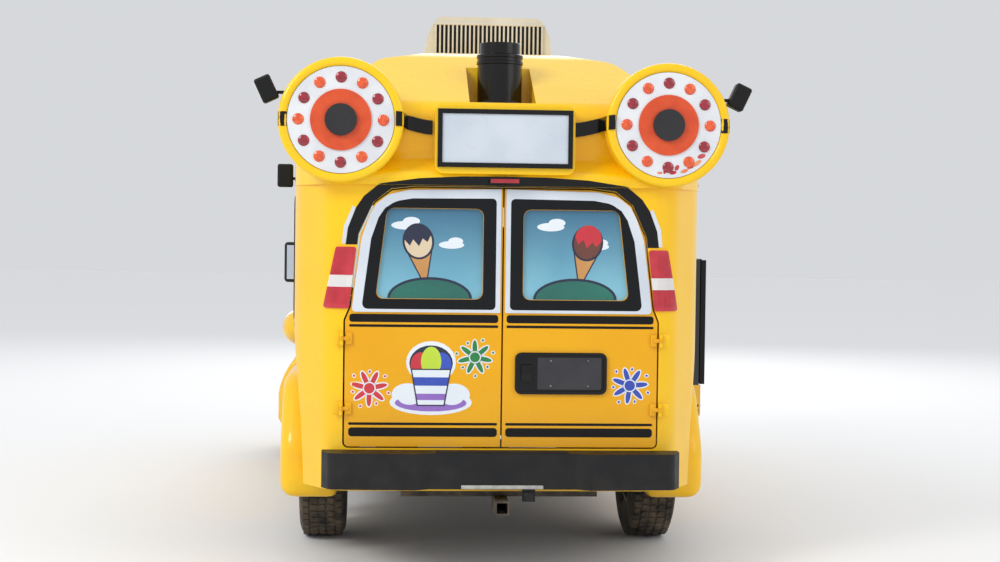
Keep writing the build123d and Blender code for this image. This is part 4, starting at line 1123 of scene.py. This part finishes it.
def cushion(wide, long, thick, channels):
    """A crowned pad whose sides pull in between its corners, with channels sewn across its top."""
    made = bmesh.new()
    bmesh.ops.create_cube(made, size=2)
    bmesh.ops.subdivide_edges(made, edges=made.edges, cuts=15, use_grid_fill=True)
    for vertex in made.verts:
        u, v, w = vertex.co
        pull = 0.035 * (1 - abs(u * v) ** 6)
        crown = 0.30 * (1 - u ** 2) * (1 - v ** 2)
        seam = max(0.0, 1 - abs(math.sin(math.pi * channels * (v + 1) / 2)) * 5)
        groove = 0.10 * seam if abs(v) < 0.93 and w > 0.9 else 0.0
        edge = 1 - 0.055 * abs(w) ** 6
        vertex.co.x = u * wide / 2 * (1 - pull * (1 - v ** 2)) * (edge if abs(u) > 0.98 else 1)
        vertex.co.y = v * long / 2 * (1 - pull * (1 - u ** 2)) * (edge if abs(v) > 0.98 else 1)
        vertex.co.z = w * thick / 2 * (0.80 + crown - groove if w > 0 else 0.9)
    return made


# size of each steel part of a seat, its radius, its place along and up, and its lean in degrees
seat_parts = [((0.36, 0.38, 0.270), 0.012, 0.680, 0.836, 0), ((0.44, 0.47, 0.030), 0.010, 0.695, 0.984, 0),
              ((0.40, 0.026, 0.50), 0.010, 0.405, 1.30, 8.5)]
for side, name in sides:
    seat_x = side * 0.430
    pedestal = bmesh.new()
    for size, radius, y, z, lean in seat_parts:
        put(pedestal, rounded_block(size, radius), at(seat_x, y, z) @ turn(lean, "X"))
    base = piece("seat_base_" + name, pedestal, "van_body", "black_metal", seat_steel)
    if side < 0:
        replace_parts(base, "front_seats")
    seat = cushion(0.49, 0.52, 0.120, 4)
    seat.transform(at(seat_x, 0.700, 1.052))
    piece("seat_cushion_" + name, seat, "van_body", "seat_cloth", seat_cloth, crease=1.2)
    back = cushion(0.46, 0.60, 0.110, 5)
    back.transform(at(seat_x, 0.467, 1.370) @ turn(-81.5, "X") @ turn(180, "Z"))
    piece("seat_back_" + name, back, "van_body", "seat_cloth", seat_cloth, crease=1.2)

# Inside: a moulded grey dashboard with black air vents pushed into it, screwed to the firewall, and a work
# counter folded from stainless steel.

trim_grey = finish("trim_grey", (92, 92, 94), (80, 80, 82), 0.6, grain=500, depth=0.0005)
counter_steel = finish("counter_steel", (196, 198, 200), (178, 180, 182), 0.3, 0.95)
give(trim_grey, "dashboard")
give(counter_steel, "work_counter")
dash_vents = bmesh.new()
for x in (-0.72, -0.10, 0.10, 0.72):
    put(dash_vents, rounded_block((0.120, 0.008, 0.062), 0.003), at(x, 1.383, 1.070))
    for number in range(5):
        put(dash_vents, rounded_block((0.106, 0.008, 0.004), 0.0012, 1), at(x, 1.378, 1.048 + number * 0.011))
piece("dash_vents", dash_vents, "van_body", "black_plastic", case_black)

# Studio: a pale floor, a backdrop of the same colour that only the camera sees, and three soft lamps. The
# camera stands where the photograph was taken from, behind the vehicle and a little to its left.

floor_colour = shade(236, 236, 235)
studio = bmesh.new()
bmesh.ops.create_grid(studio, x_segments=1, y_segments=1, size=60)
floor_paint = plain("studio_floor", {"Base Color": floor_colour, "Roughness": 0.9})
object_of("studio_floor", studio, floor_paint)

world = bpy.data.worlds.new("studio")
bpy.context.scene.world = world
world.use_nodes = True
sky_colour = (0.94, 0.96, 1.0, 1.0)
sky_strength = 0.85
backdrop_colour = tuple(a * b for a, b in zip(floor_colour, sky_colour))
sky = world.node_tree.nodes["Background"]
sky.inputs["Color"].default_value = sky_colour
sky.inputs["Strength"].default_value = sky_strength
seen = node(world, "ShaderNodeBackground", {"Color": backdrop_colour, "Strength": sky_strength})
camera_ray = node(world, "ShaderNodeLightPath").outputs["Is Camera Ray"]
choice = node(world, "ShaderNodeMixShader", {0: camera_ray, 1: sky.outputs[0], 2: seen.outputs[0]})
world.node_tree.links.new(choice.outputs[0], world.node_tree.nodes["World Output"].inputs["Surface"])

# place, size and power of each lamp
lamp_rows = [
    ("key", (-9.0, -9.0, 9.0), 5.0, 700.0), ("fill", (9.0, -8.0, 6.0), 8.0, 200.0),
    ("front", (2.0, 11.0, 8.0), 8.0, 450.0),
]
aim = Vector((0, 0, 1.2))
for name, spot, size, power in lamp_rows:
    data = bpy.data.lights.new(name, "AREA")
    data.shape = "DISK"
    data.size = size
    data.energy = power
    lamp = bpy.data.objects.new(name, data)
    lamp.location = spot
    lamp.rotation_euler = (aim - Vector(spot)).to_track_quat("-Z", "Y").to_euler()
    bpy.context.scene.collection.objects.link(lamp)

camera_spot = (-0.593, -10.775, 1.61)
look_right = 4.09
look_down = 1.5
roll = 0.73
photo_lens = 28.1
closer = 2.2
camera_data = bpy.data.cameras.new("camera")
camera_data.lens = photo_lens * closer
camera_data.sensor_width = 36.0
camera = bpy.data.objects.new("camera", camera_data)
camera.matrix_world = at(*camera_spot) @ turn(-look_right, "Z") @ turn(90 - look_down, "X") @ turn(roll, "Z")
bpy.context.scene.collection.objects.link(camera)
bpy.context.scene.camera = camera
bpy.context.scene.view_settings.view_transform = "Standard"
